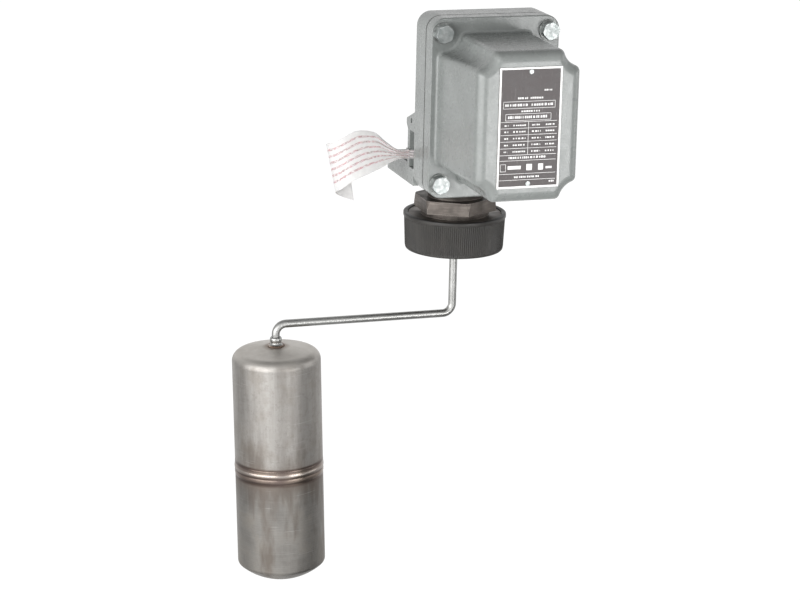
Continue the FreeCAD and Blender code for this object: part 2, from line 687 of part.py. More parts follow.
def enclosure_cover():
    """The front casting: a thick bolted flange and a hollow dome."""
    body = dome("cover", face_y, as_size(0), s.side_round, s.face_round)
    pad(body, plate_sketch(body, "flange_outline", flange_back), s.flange_t, "flange_block")
    round_edges(body, s.corner, "flange_corners",
                lambda e: upright(e) and abs(e.Length - s.flange_t.value) < CLOSE)
    round_edges(body, s.root_round, "dome_root",
                lambda e: lies_on(e, "Y", flange_front.value) and not on_flange_rim(e))
    round_edges(body, s.flange_round, "flange_edge", on_flange_rim)
    hollow = dome("hollow", face_y + s.skin, s.skin, s.side_round, s.face_round - s.skin)
    tools = [hollow]
    for i, (x, z) in enumerate(bolt_spots):
        tools.append(cylinder(f"cover_hole_{i}", s.bolt_d + s.edge, s.flange_t, (x, flange_back, z), "-Y"))
    node(cut("cover_solid", body, *tools), "enclosure_cover")


def cover_bolts():
    bolts, washers = [], []
    seat_y = flange_front - s.washer_t
    tip_y = base_front + s.bolt_reach
    for i, (x, z) in enumerate(bolt_spots):
        head = bevelled_hex(f"bolt_head_{i}", s.bolt_af, s.head_t, s.edge / 2, (x, seat_y, z), "-Y", 15)
        shank = cylinder(f"bolt_shank_{i}", s.bolt_d, tip_y - seat_y, (x, tip_y, z), "-Y")
        bolts.append(fuse(f"bolt_{i}", head, shank))
        disc = cylinder(f"washer_disc_{i}", s.washer_d, s.washer_t, (x, flange_front, z), "-Y")
        hole = cylinder(f"washer_hole_{i}", s.bolt_d + s.edge, s.washer_t, (x, flange_front, z), "-Y")
        washers.append(cut(f"washer_{i}", disc, hole))
    node(fuse("cover_bolt_set", *bolts), "cover_bolts")
    node(fuse("washer_set", *washers), "bolt_washers")


def nameplate():
    low = (s.box_x - s.plate_w / 2, face_y - s.plate_t, box_z - s.plate_h / 2)
    high = (s.box_x + s.plate_w / 2, face_y, box_z + s.plate_h / 2)
    sheet_metal = block("plate_sheet", low, high)
    offsets = [s.plate_h / 2 - s.plate_pin_in, s.plate_pin_in - s.plate_h / 2]
    holes, pins = [], []
    for i, dz in enumerate(offsets):
        z = box_z + dz
        holes.append(cylinder(f"plate_hole_{i}", s.plate_pin_d / 2, s.plate_t, (s.box_x, face_y, z), "-Y"))
        head = cylinder(f"plate_pin_head_{i}", s.plate_pin_d, s.plate_t, (s.box_x, face_y - s.plate_t, z),
                        "-Y")
        shank = cylinder(f"plate_pin_shank_{i}", s.plate_pin_d / 2, s.plate_t, (s.box_x, face_y, z), "-Y")
        pins.append(fuse(f"plate_pin_{i}", head, shank))
    node(cut("nameplate_solid", sheet_metal, *holes), "nameplate")
    node(fuse("plate_pin_set", *pins), "nameplate_pins")


# ---- switch drive ----------------------------------------------------------------------------

def crank_front():
    """The face of the crank next to the bearing's flange."""
    return s.back_y + s.bearing_flange_t + s.side_play


def shaft_bearing():
    flange = cylinder("bearing_flange", s.bearing_flange_d, s.bearing_flange_t,
                      (0, s.back_y + s.bearing_flange_t, s.shaft_z), "-Y")
    sleeve = cylinder("bearing_sleeve", s.bearing_d, s.wall + s.bearing_in, (0, s.back_y, s.shaft_z), "-Y")
    bore = cylinder("bearing_bore", s.shaft_d + s.run_fit * 2,
                    s.bearing_flange_t + s.wall + s.bearing_in,
                    (0, s.back_y + s.bearing_flange_t, s.shaft_z), "-Y")
    node(cut("bearing_solid", fuse("bearing_blank", flange, sleeve), bore), "shaft_bearing")


def switch_shaft():
    start = crank_front() + s.crank_t
    end = cam_back - s.cam_t
    node(cylinder("shaft_solid", s.shaft_d, start - end, (0, start, s.shaft_z), "-Y"), "switch_shaft")


def switch_crank():
    """Hub and forked arm; the fork's slot straddles the lever's pin."""
    hub = cylinder("crank_hub", s.crank_hub_d, s.crank_t, (0, crank_front() + s.crank_t, s.shaft_z), "-Y")
    low = s.shaft_z - s.fork_len
    arm = block("crank_arm", (-s.fork_w / 2, crank_front(), low),
                (s.fork_w / 2, crank_front() + s.fork_t, s.shaft_z))
    slot = block("crank_slot", (-s.fork_slot / 2, crank_front(), low),
                 (s.fork_slot / 2, crank_front() + s.fork_t, pin_z + s.lever_pin_d))
    bore = cylinder("crank_bore", s.shaft_d, s.crank_t, (0, crank_front() + s.crank_t, s.shaft_z), "-Y")
    node(cut("crank_solid", fuse("crank_blank", hub, arm), slot, bore), "switch_crank")


def shaft_clip():
    y = inner_y - s.bearing_in - s.side_play
    disc = cylinder("clip_disc", s.clip_d, s.clip_t, (0, y, s.shaft_z), "-Y")
    hole = cylinder("clip_hole", s.shaft_d, s.clip_t, (0, y, s.shaft_z), "-Y")
    node(cut("clip_solid", disc, hole), "shaft_clip")


def inner_cam():
    """Short arm on the shaft's inner end; its pin drives the contact carrier."""
    hub = cylinder("cam_hub", s.cam_hub_d, s.cam_t, (0, cam_back, s.shaft_z), "-Y")
    arm = block("cam_arm_plate", (-s.cam_pin_d, cam_back - s.cam_t, cam_pin_z - s.cam_pin_d),
                (s.cam_pin_d, cam_back, s.shaft_z))
    bore = cylinder("cam_bore", s.shaft_d, s.cam_t, (0, cam_back, s.shaft_z), "-Y")
    plate = cut("cam_plate", fuse("cam_blank", hub, arm), bore)
    pin = cylinder("cam_pin", s.cam_pin_d, cam_back - s.cam_t - block_front,
                   (0, cam_back - s.cam_t, cam_pin_z), "-Y")
    node(fuse("cam_solid", plate, pin), "inner_cam")


# ---- contacts --------------------------------------------------------------------------------

def poles():
    return [s.pole_one, s.pole_one + s.pole_pitch]


def block_screw_spots():
    left = s.block_left + s.screw_in
    between = s.pole_one + s.open_gap + (s.pole_pitch + s.tab_w) / 2
    return [(left, block_top - s.screw_in), (left, s.block_low + s.screw_in),
            (between, s.block_low + s.screw_up)]


def terminal_spots():
    """Screw places and the sides of the channel that they stand on."""
    return [(x + s.open_gap + s.tab_w / 2, channel_z + s.terminal_pitch / 2 * side, x, side)
            for x in poles() for side in (-1, 1)]


def contact_block():
    """Moulded block with a channel for the carrier and a notch for the carrier's tail."""
    solid = block("block_solid", (s.block_left, block_front, s.block_low),
                  (s.block_right, inner_y, block_top))
    half = s.channel_h / 2
    channel = block("block_channel", (s.block_left, block_front, channel_z - half),
                    (s.block_right, block_front + s.channel_d, channel_z + half))
    side = s.tail_w / 2
    notch = block("block_notch", (-side - s.tail_room, block_front, channel_z),
                  (side + s.travel + s.tail_room, block_front + s.channel_d, block_top))
    around = s.cam_pin_d + s.cam_room
    relief = block("cam_relief", (-around, block_front, cam_pin_z - around),
                   (s.cam_pin_d + s.travel + s.tail_room, inner_y, block_top))
    tools = [channel, notch, relief]
    for i, (x, z) in enumerate(block_screw_spots()):
        tools.append(cylinder(f"block_hole_{i}", s.screw_d, s.block_d, (x, inner_y, z), "-Y"))
    for i, (x, z, _, _) in enumerate(terminal_spots()):
        tools.append(cylinder(f"terminal_hole_{i}", s.terminal_d / 2, s.channel_d,
                              (x, block_front + s.channel_d, z), "-Y"))
    node(cut("contact_block_solid", solid, *tools), "contact_block")


def contact_carrier():
    """Sliding bar with a slotted tail for the cam's pin."""
    half = s.channel_h / 2 - s.slide_fit
    back = block_front + s.channel_d - s.slide_fit
    bar = block("carrier_bar", (s.carrier_left, carrier_front, channel_z - half),
                (s.carrier_right, back, channel_z + half))
    tail_top = cam_pin_z + s.cam_pin_d
    tail = block("carrier_tail", (-s.tail_w / 2, carrier_front, channel_z),
                 (s.tail_w / 2, back, tail_top))
    gap = s.cam_pin_d / 2 + s.slide_fit
    slot = block("carrier_slot", (-gap, carrier_front, cam_pin_z - s.cam_pin_d), (gap, back, tail_top))
    node(cut("carrier_solid", fuse("carrier_blank", bar, tail), slot), "contact_carrier")


def moving_contacts():
    strips = [block(f"bridge_{i}", (x - s.contact_t / 2, carrier_front - s.contact_d,
                                    channel_z - s.contact_span / 2),
                    (x + s.contact_t / 2, carrier_front, channel_z + s.contact_span / 2))
              for i, x in enumerate(poles())]
    node(fuse("bridge_set", *strips), "moving_contacts")


def fixed_contacts():
    """Four angles: a tab under the terminal screw and a post that faces the moving strip."""
    pieces = []
    for i, (x, z, pole, side) in enumerate(terminal_spots()):
        near = channel_z + (s.channel_h / 2 + s.tab_in) * side
        far = channel_z + (s.block_h / 2 - s.tab_end) * side
        low, high = (near, far) if side > 0 else (far, near)
        edge_x = pole + s.open_gap
        tab = block(f"tab_{i}", (edge_x, block_front - s.strip_t, low),
                    (edge_x + s.tab_w, block_front, high))
        post_far = near + s.tab_w / 2 * side
        post_low, post_high = (near, post_far) if side > 0 else (post_far, near)
        post = block(f"contact_post_{i}", (edge_x, block_front - s.contact_d, post_low),
                     (edge_x + s.strip_t, block_front, post_high))
        hole = cylinder(f"tab_hole_{i}", s.terminal_d / 2, s.strip_t, (x, block_front, z), "-Y")
        pieces.append(cut(f"fixed_contact_{i}", fuse(f"angle_{i}", tab, post), hole))
    node(fuse("fixed_contact_set", *pieces), "fixed_contacts")


def slotted_screw(name, x, z, head_d, shank_d, head_y, head_t, tip_y):
    head = cylinder(name + "_head", head_d, head_t, (x, head_y, z), "-Y")
    slot = block(name + "_slot", (x - head_d / 2, head_y - head_t, z - head_t / 6),
                 (x + head_d / 2, head_y - head_t / 2, z + head_t / 6))
    shank = cylinder(name + "_shank", shank_d, tip_y - head_y, (x, tip_y, z), "-Y")
    return cut(name, fuse(name + "_blank", head, shank), slot)


def screws():
    tab_front = block_front - s.strip_t
    terminals = [slotted_screw(f"terminal_{i}", x, z, s.terminal_d, s.terminal_d / 2, tab_front,
                               s.screw_head_t, block_front + s.channel_d)
                 for i, (x, z, _, _) in enumerate(terminal_spots())]
    node(fuse("terminal_screw_set", *terminals), "terminal_screws")
    holders = [slotted_screw(f"block_screw_{i}", x, z, s.screw_head_d, s.screw_d, block_front,
                             s.screw_head_t, inner_y)
               for i, (x, z) in enumerate(block_screw_spots())]
    node(fuse("block_screw_set", *holders), "block_screws")
    ground = slotted_screw("ground_screw_solid", right_x - s.ground_in, s.box_low + s.ground_up,
                           s.ground_head_d, s.screw_d, inner_y - s.edge, s.screw_head_t, inner_y)
    node(ground, "ground_screw")


# ---- inspection tag --------------------------------------------------------------------------

# How far the paper has run out from the post, how far it stands forward, and the heights of its
# lower and upper edges from the tail's middle, as shares of tag_reach and tag_w.  The lean moves the
# upper edge along the run.
TAG_STATIONS = [
    (0.00, 0.01, -0.11, 0.11, 0.00), (0.12, 0.02, -0.09, 0.12, 0.03), (0.24, 0.04, -0.15, 0.30, 0.06),
    (0.36, 0.07, -0.24, 0.52, 0.10), (0.54, 0.11, -0.35, 0.58, 0.15), (0.72, 0.11, -0.48, 0.45, 0.14),
    (0.84, 0.04, -0.66, 0.33, 0.13), (0.88, -0.08, -0.77, 0.26, 0.13), (0.84, -0.19, -0.87, 0.15, 0.11),
    (0.72, -0.25, -0.98, 0.00, 0.09), (0.60, -0.27, -1.06, -0.25, 0.07),
]


def tag_sheet():
    """The curling sheet, lofted through thin upright strips along its run."""
    start = Vector((left_x - s.tag_gap - s.tag_t / 2).value, (s.post_back - s.post_w).value,
                   s.tag_z.value)
    reach, width, thick = s.tag_reach.value, s.tag_w.value, s.tag_t.value
    feet = [start + Vector(-along * reach, -out * reach, low * width)
            for along, out, low, _, _ in TAG_STATIONS]
    heads = [start + Vector(-(along + lean) * reach, -out * reach, high * width)
             for along, out, _, high, lean in TAG_STATIONS]
    strips = []
    for i, (foot, head) in enumerate(zip(feet, heads)):
        run = feet[min(i + 1, len(feet) - 1)] - feet[max(i - 1, 0)]
        push = run.cross(head - foot).normalize() * thick
        strips.append(Part.makePolygon([foot, head, head + push, foot + push, foot]))
    sheet_of_paper = doc.addObject("Part::Feature", "tag_sheet")
    sheet_of_paper.Shape = Part.makeLoft(strips, True, False)
    return sheet_of_paper


def paper_tag():
    """A curling paper tag whose narrow tail is looped round the shroud's post."""
    gap, thick = s.tag_gap, s.tag_t
    back, front = s.post_back + gap, s.post_back - s.post_w - gap
    outside, inside = left_x - gap, left_x + s.cheek_t + gap
    low, high = s.tag_z - s.tail_h / 2, s.tag_z + s.tail_h / 2
    band = block("tag_band", (outside - thick, front - thick, low), (inside + thick, back + thick, high))
    room = block("tag_band_room", (outside, front, low), (inside, back, high))
    node(fuse("tag_whole", cut("tag_loop", band, room), tag_sheet()), "paper_tag")


def build():
    bushing()
    thread_protector()
    lock_nut()
    seat("lower_seat", seat_low)
    seat("upper_seat", s.pivot_z)
    gland_nut()
    ball_lever()
    lever_pins()
    jam_nut()
    float_rod()
    float_boss()
    float_cups()
    seam_bead()
    enclosure_base()
    cover_gasket()
    enclosure_cover()
    cover_bolts()
    nameplate()
    shaft_bearing()
    switch_shaft()
    switch_crank()
    shaft_clip()
    inner_cam()
    contact_block()
    contact_carrier()
    moving_contacts()
    fixed_contacts()
    screws()
    paper_tag()


def check():
    """Stops the script if any object failed."""
    doc.recompute()
    for obj in doc.Objects:
        bad = [state for state in obj.State if "Invalid" in state or "Error" in state]
        if bad:
            raise RuntimeError(f"{obj.Name} ({obj.Label}): {obj.State}")
    for obj in nodes:
        if obj.Shape.isNull() or not obj.Shape.isValid() or not obj.Shape.Solids:
            raise RuntimeError(f"{obj.Label}: its shape is empty or not valid")


build()
check()
os.makedirs("parts", exist_ok=True)
for obj in nodes:
    obj.Shape.exportStep(f"parts/{obj.Label}.step")
    print(obj.Label, len(obj.Shape.Solids), round(obj.Shape.Volume / 1000, 2), "cm3")
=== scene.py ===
"""The looks of the float level switch: materials, fine pieces, paper tag, light and camera."""
import json
import math
import random

import bmesh
import bpy
from mathutils import Matrix, Vector


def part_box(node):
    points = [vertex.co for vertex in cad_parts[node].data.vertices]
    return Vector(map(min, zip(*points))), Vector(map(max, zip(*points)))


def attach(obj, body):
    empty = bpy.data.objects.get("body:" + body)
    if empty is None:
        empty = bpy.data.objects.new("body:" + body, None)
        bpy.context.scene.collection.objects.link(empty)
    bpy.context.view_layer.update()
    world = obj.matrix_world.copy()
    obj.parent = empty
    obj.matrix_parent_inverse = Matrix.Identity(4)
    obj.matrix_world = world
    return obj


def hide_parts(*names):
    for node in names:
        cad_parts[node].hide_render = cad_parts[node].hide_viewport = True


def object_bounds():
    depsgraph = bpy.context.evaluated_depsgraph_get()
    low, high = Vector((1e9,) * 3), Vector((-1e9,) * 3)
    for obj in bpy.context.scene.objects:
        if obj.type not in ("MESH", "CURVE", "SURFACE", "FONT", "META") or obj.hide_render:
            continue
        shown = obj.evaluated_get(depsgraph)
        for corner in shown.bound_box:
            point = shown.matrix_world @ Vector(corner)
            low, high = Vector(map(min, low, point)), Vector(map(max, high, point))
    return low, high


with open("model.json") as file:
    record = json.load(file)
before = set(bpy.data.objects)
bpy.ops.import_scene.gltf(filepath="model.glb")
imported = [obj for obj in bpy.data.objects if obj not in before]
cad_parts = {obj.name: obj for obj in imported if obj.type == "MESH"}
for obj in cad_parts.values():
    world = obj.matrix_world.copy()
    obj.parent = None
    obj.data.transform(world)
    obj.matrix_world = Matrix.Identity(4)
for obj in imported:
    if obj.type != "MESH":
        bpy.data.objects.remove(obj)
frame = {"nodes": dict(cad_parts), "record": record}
nodes = frame["nodes"]
MM = 0.001
cad_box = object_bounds()

# The float's own frame: where its axis meets the arm's line, and how far it leans.
FLOAT_SPOT = Vector((-145.5, 0, -83.3)) * MM
FLOAT_LEAN = math.radians(-2.0)
FLOAT_RADIUS = 34.9 * MM
FLOAT_SEAM = -120.1 * MM
FLOAT_CROWN = -17.0 * MM
SEAM_RISE = 5.2 * MM  # the weld runs along the upper edge of the joined rims

# The bushing's neck starts here above the frame's origin; it is painted in shade where it sits under the
# enclosure.
NECK_LOW = 13.4 * MM

# The surround's level on dull surfaces, and how dim it is beside, overhead and in a gap. It is
# full along the line from front to back, and the gap lies at the front right.
WORLD_LEVEL = 0.40
SIDE_LEVEL, OVERHEAD_LEVEL, GAP_LEVEL = 0.62, 0.40, 0.22
FRONT_TO_BACK = (-0.309, -0.951, 0.0)
GAP_TOWARDS = (0.848, -0.530, 0.0)


# ---- shader builder --------------------------------------------------------------------------

class Nodes:
    """A small builder for a node tree."""

    def __init__(self, tree, coordinates):
        self.tree = tree
        self.place = self.add("ShaderNodeTexCoord").outputs[coordinates]

    def add(self, kind, **settings):
        node = self.tree.nodes.new(kind)
        for key, value in settings.items():
            setattr(node, key, value)
        return node

    def link(self, source, target):
        self.tree.links.new(source, target)

    def feed(self, socket, value):
        """Sets a socket to a number or colour, or links it."""
        if isinstance(value, bpy.types.NodeSocket):
            self.link(value, socket)
        else:
            socket.default_value = value

    def math(self, operation, a, b=0.0):
        """One step of arithmetic on one or two values."""
        node = self.add("ShaderNodeMath", operation=operation)
        self.feed(node.inputs[0], a)
        self.feed(node.inputs[1], b)
        return node.outputs[0]

    def span(self, value, low, high, to_low=0.0, to_high=1.0):
        """Maps a value from one range to another, clamped."""
        node = self.add("ShaderNodeMapRange")
        limits = {"From Min": low, "From Max": high, "To Min": to_low, "To Max": to_high}
        for socket, number in limits.items():
            node.inputs[socket].default_value = number
        self.link(value, node.inputs["Value"])
        return node.outputs["Result"]

    def axis(self, letter, source=None):
        """One coordinate of a place."""
        node = self.add("ShaderNodeSeparateXYZ")
        self.link(source or self.place, node.inputs["Vector"])
        return node.outputs[letter]

    def towards(self, direction, source):
        """How far a vector points in a direction: 1 along it, -1 against it."""
        node = self.add("ShaderNodeVectorMath", operation="DOT_PRODUCT")
        self.link(source, node.inputs[0])
        node.inputs[1].default_value = direction
        return node.outputs["Value"]

    def path(self, *kinds):
        """1 for rays of any of the given kinds."""
        node = self.add("ShaderNodeLightPath")
        found = node.outputs[f"Is {kinds[0]} Ray"]
        for kind in kinds[1:]:
            found = self.math("MAXIMUM", found, node.outputs[f"Is {kind} Ray"])
        return found

    def sides(self, source):
        """The surround's level by direction: full in front and behind, less beside, least in the gap."""
        along = self.math("ABSOLUTE", self.towards(FRONT_TO_BACK, source))
        beside = self.span(along, 0.3, 0.9, SIDE_LEVEL, 1.1)
        gap = self.span(self.towards(GAP_TOWARDS, source), 0.80, 0.96, 1.0, GAP_LEVEL)
        return self.math("MULTIPLY", beside, gap)


class Shader(Nodes):
    """A material with a principled surface."""

    def __init__(self, name, **sockets):
        self.material = bpy.data.materials.new(name)
        self.material.use_nodes = True
        super().__init__(self.material.node_tree, "Object")
        self.surface = self.tree.nodes["Principled BSDF"]
        for socket, value in sockets.items():
            self.surface.inputs[socket.replace("_", " ")].default_value = value

    def stretched(self, scale, source=None):
        """Coordinates scaled along each axis."""
        node = self.add("ShaderNodeMapping")
        node.inputs["Scale"].default_value = scale
        self.link(source or self.place, node.inputs["Vector"])
        return node.outputs["Vector"]

    def local(self, spot, turn_y):
        """Coordinates in a frame at `spot`, turned about Y."""
        node = self.add("ShaderNodeMapping", vector_type="TEXTURE")
        node.inputs["Location"].default_value = spot
        node.inputs["Rotation"].default_value = (0, turn_y, 0)
        self.link(self.place, node.inputs["Vector"])
        return node.outputs["Vector"]

    def noise(self, scale, detail, vector=None, rough=0.5):
        """Cloudy noise, by its scale per metre and its octaves."""
        node = self.add("ShaderNodeTexNoise")
        node.inputs["Scale"].default_value = scale
        node.inputs["Detail"].default_value = detail
        node.inputs["Roughness"].default_value = rough
        self.link(vector or self.place, node.inputs["Vector"])
        return node.outputs["Fac"]

    def ramp(self, factor, *stops):
        """A colour ramp through (position, colour) stops."""
        node = self.add("ShaderNodeValToRGB")
        while len(node.color_ramp.elements) < len(stops):
            node.color_ramp.elements.new(0.5)
        for element, (position, colour) in zip(node.color_ramp.elements, stops):
            element.position = position
            element.color = (*colour, 1)
        self.link(factor, node.inputs["Fac"])
        return node.outputs["Color"]

    def mix(self, factor, a, b):
        """Goes from colour a to colour b; inputs 6 and 7 and output 2 are the node's colours."""
        node = self.add("ShaderNodeMix", data_type="RGBA")
        self.feed(node.inputs[0], factor)
        for socket, value in ((node.inputs[6], a), (node.inputs[7], b)):
            self.feed(socket, value if isinstance(value, bpy.types.NodeSocket) else (*value, 1))
        return node.outputs[2]

    def band(self, value, middle, half, soft):
        """1 within `half` of a middle, fading to 0 over `soft`."""
        away = self.math("ABSOLUTE", self.math("SUBTRACT", value, middle))
        return self.span(away, half, half + soft, 1.0, 0.0)

    def distance(self, source):
        """How far a place is from the Z axis."""
        x, y = self.axis("X", source), self.axis("Y", source)
        squares = self.math("ADD", self.math("MULTIPLY", x, x), self.math("MULTIPLY", y, y))
        return self.math("SQRT", squares)

    def edge_wear(self, width):
        """1 on sharp outer edges, fading inwards."""
        bevel = self.add("ShaderNodeBevel", samples=4)
        bevel.inputs["Radius"].default_value = width
        plain = self.add("ShaderNodeNewGeometry")
        dot = self.add("ShaderNodeVectorMath", operation="DOT_PRODUCT")
        self.link(bevel.outputs["Normal"], dot.inputs[0])
        self.link(plain.outputs["Normal"], dot.inputs[1])
        return self.span(dot.outputs["Value"], 0.975, 0.84)

    def bump(self, height, distance, strength, rounding=0.0):
        """Bumps the surface, and rounds its hard edges where asked."""
        node = self.add("ShaderNodeBump")
        node.inputs["Distance"].default_value = distance
        node.inputs["Strength"].default_value = strength
        self.link(height, node.inputs["Height"])
        if rounding:
            bevel = self.add("ShaderNodeBevel", samples=6)
            bevel.inputs["Radius"].default_value = rounding
            self.link(bevel.outputs["Normal"], node.inputs["Normal"])
        self.link(node.outputs["Normal"], self.surface.inputs["Normal"])

    def colour(self, value):
        self.feed(self.surface.inputs["Base Color"], value)

    def rough(self, value):
        self.feed(self.surface.inputs["Roughness"], value)


# ---- materials -------------------------------------------------------------------------------

def casting_paint():
    """Grey enamel over a sand-cast surface: orange peel, faint mottle and chipped edges."""
    s = Shader("casting_paint", Specular_IOR_Level=0.6)
    mottle = s.noise(45, 2)
    enamel = s.ramp(mottle, (0.3, (0.244, 0.259, 0.251)), (0.7, (0.284, 0.300, 0.292)))
    chips = s.math("MULTIPLY", s.edge_wear(0.0008), s.span(s.noise(420, 4), 0.60, 0.66))
    s.colour(s.mix(chips, enamel, (0.62, 0.62, 0.60)))
    s.rough(s.span(s.noise(160, 2), 0.3, 0.7, 0.24, 0.33))
    peel = s.noise(900, 2, rough=0.6)
    grain = s.noise(170, 3)
    height = s.math("ADD", peel, s.math("MULTIPLY", grain, 0.4))
    s.bump(height, 0.00008, 0.45)
    return s.material


def black_steel():
    """Blackened, machined steel with cutter marks and rubbed corners."""
    s = Shader("blackened_steel", Metallic=0.75)
    blotch = s.noise(120, 6)
    marks = s.noise(260, 3, s.stretched((0.3, 0.3, 5)))
    skin = s.ramp(blotch, (0.3, (0.088, 0.078, 0.069)), (0.7, (0.185, 0.163, 0.146)))
    skin = s.mix(s.span(marks, 0.35, 0.75, 0.0, 0.35), skin, (0.07, 0.055, 0.05))
    # painted shade: the neck goes nearly black above this height, where it sits in the shadow under the
    # enclosure
    grime_and_shade = s.span(s.axis("Z"), NECK_LOW, NECK_LOW + 1.5 * MM, 0.0, 0.8)
    skin = s.mix(grime_and_shade, skin, (0.020, 0.017, 0.015))
    rubbed = s.math("MULTIPLY", s.edge_wear(0.0007), s.span(s.noise(300, 4), 0.35, 0.6, 0.25, 0.9))
    s.colour(s.mix(rubbed, skin, (0.42, 0.38, 0.35)))
    s.rough(s.span(marks, 0.3, 0.7, 0.38, 0.58))
    s.bump(s.math("ADD", marks, s.math("MULTIPLY", blotch, 0.5)), 0.0003, 0.35, rounding=0.0004)
    return s.material


def black_plastic():
    """Charcoal moulded plastic, slightly dusty."""
    s = Shader("moulded_black", Specular_IOR_Level=0.45)
    dust = s.noise(90, 5)
    # painted sheen: lighter upright streaks stand in for light caught along the ribs
    sheen_streaks = s.noise(240, 3, s.stretched((1, 1, 0.12)))
    body = s.ramp(dust, (0.3, (0.021, 0.0195, 0.0175)), (0.7, (0.034, 0.0315, 0.028)))
    body = s.mix(s.span(sheen_streaks, 0.5, 0.75, 0.0, 0.3), body, (0.070, 0.064, 0.057))
    # painted shade: the ring's top, under the hex and the enclosure, is darkened
    painted_top_shade = s.span(s.axis("Z"), -1.6 * MM, -0.6 * MM, 0.0, 0.75)
    s.colour(s.mix(painted_top_shade, body, (0.006, 0.0055, 0.005)))
    s.rough(s.span(dust, 0.3, 0.7, 0.36, 0.52))
    s.bump(s.noise(1800, 3), 0.0001, 0.3)
    return s.material


def drawn_steel():
    """Bright drawn bar: fine lengthwise lines, faint handling marks."""
    s = Shader("drawn_steel", Metallic=1.0)
    smear = s.noise(70, 4)
    lines = s.noise(600, 2)
    s.colour(s.ramp(smear, (0.3, (0.32, 0.32, 0.31)), (0.7, (0.43, 0.43, 0.42))))
    s.rough(s.span(smear, 0.3, 0.7, 0.33, 0.45))
    s.bump(lines, 0.00002, 0.25, rounding=0.0003)
    return s.material


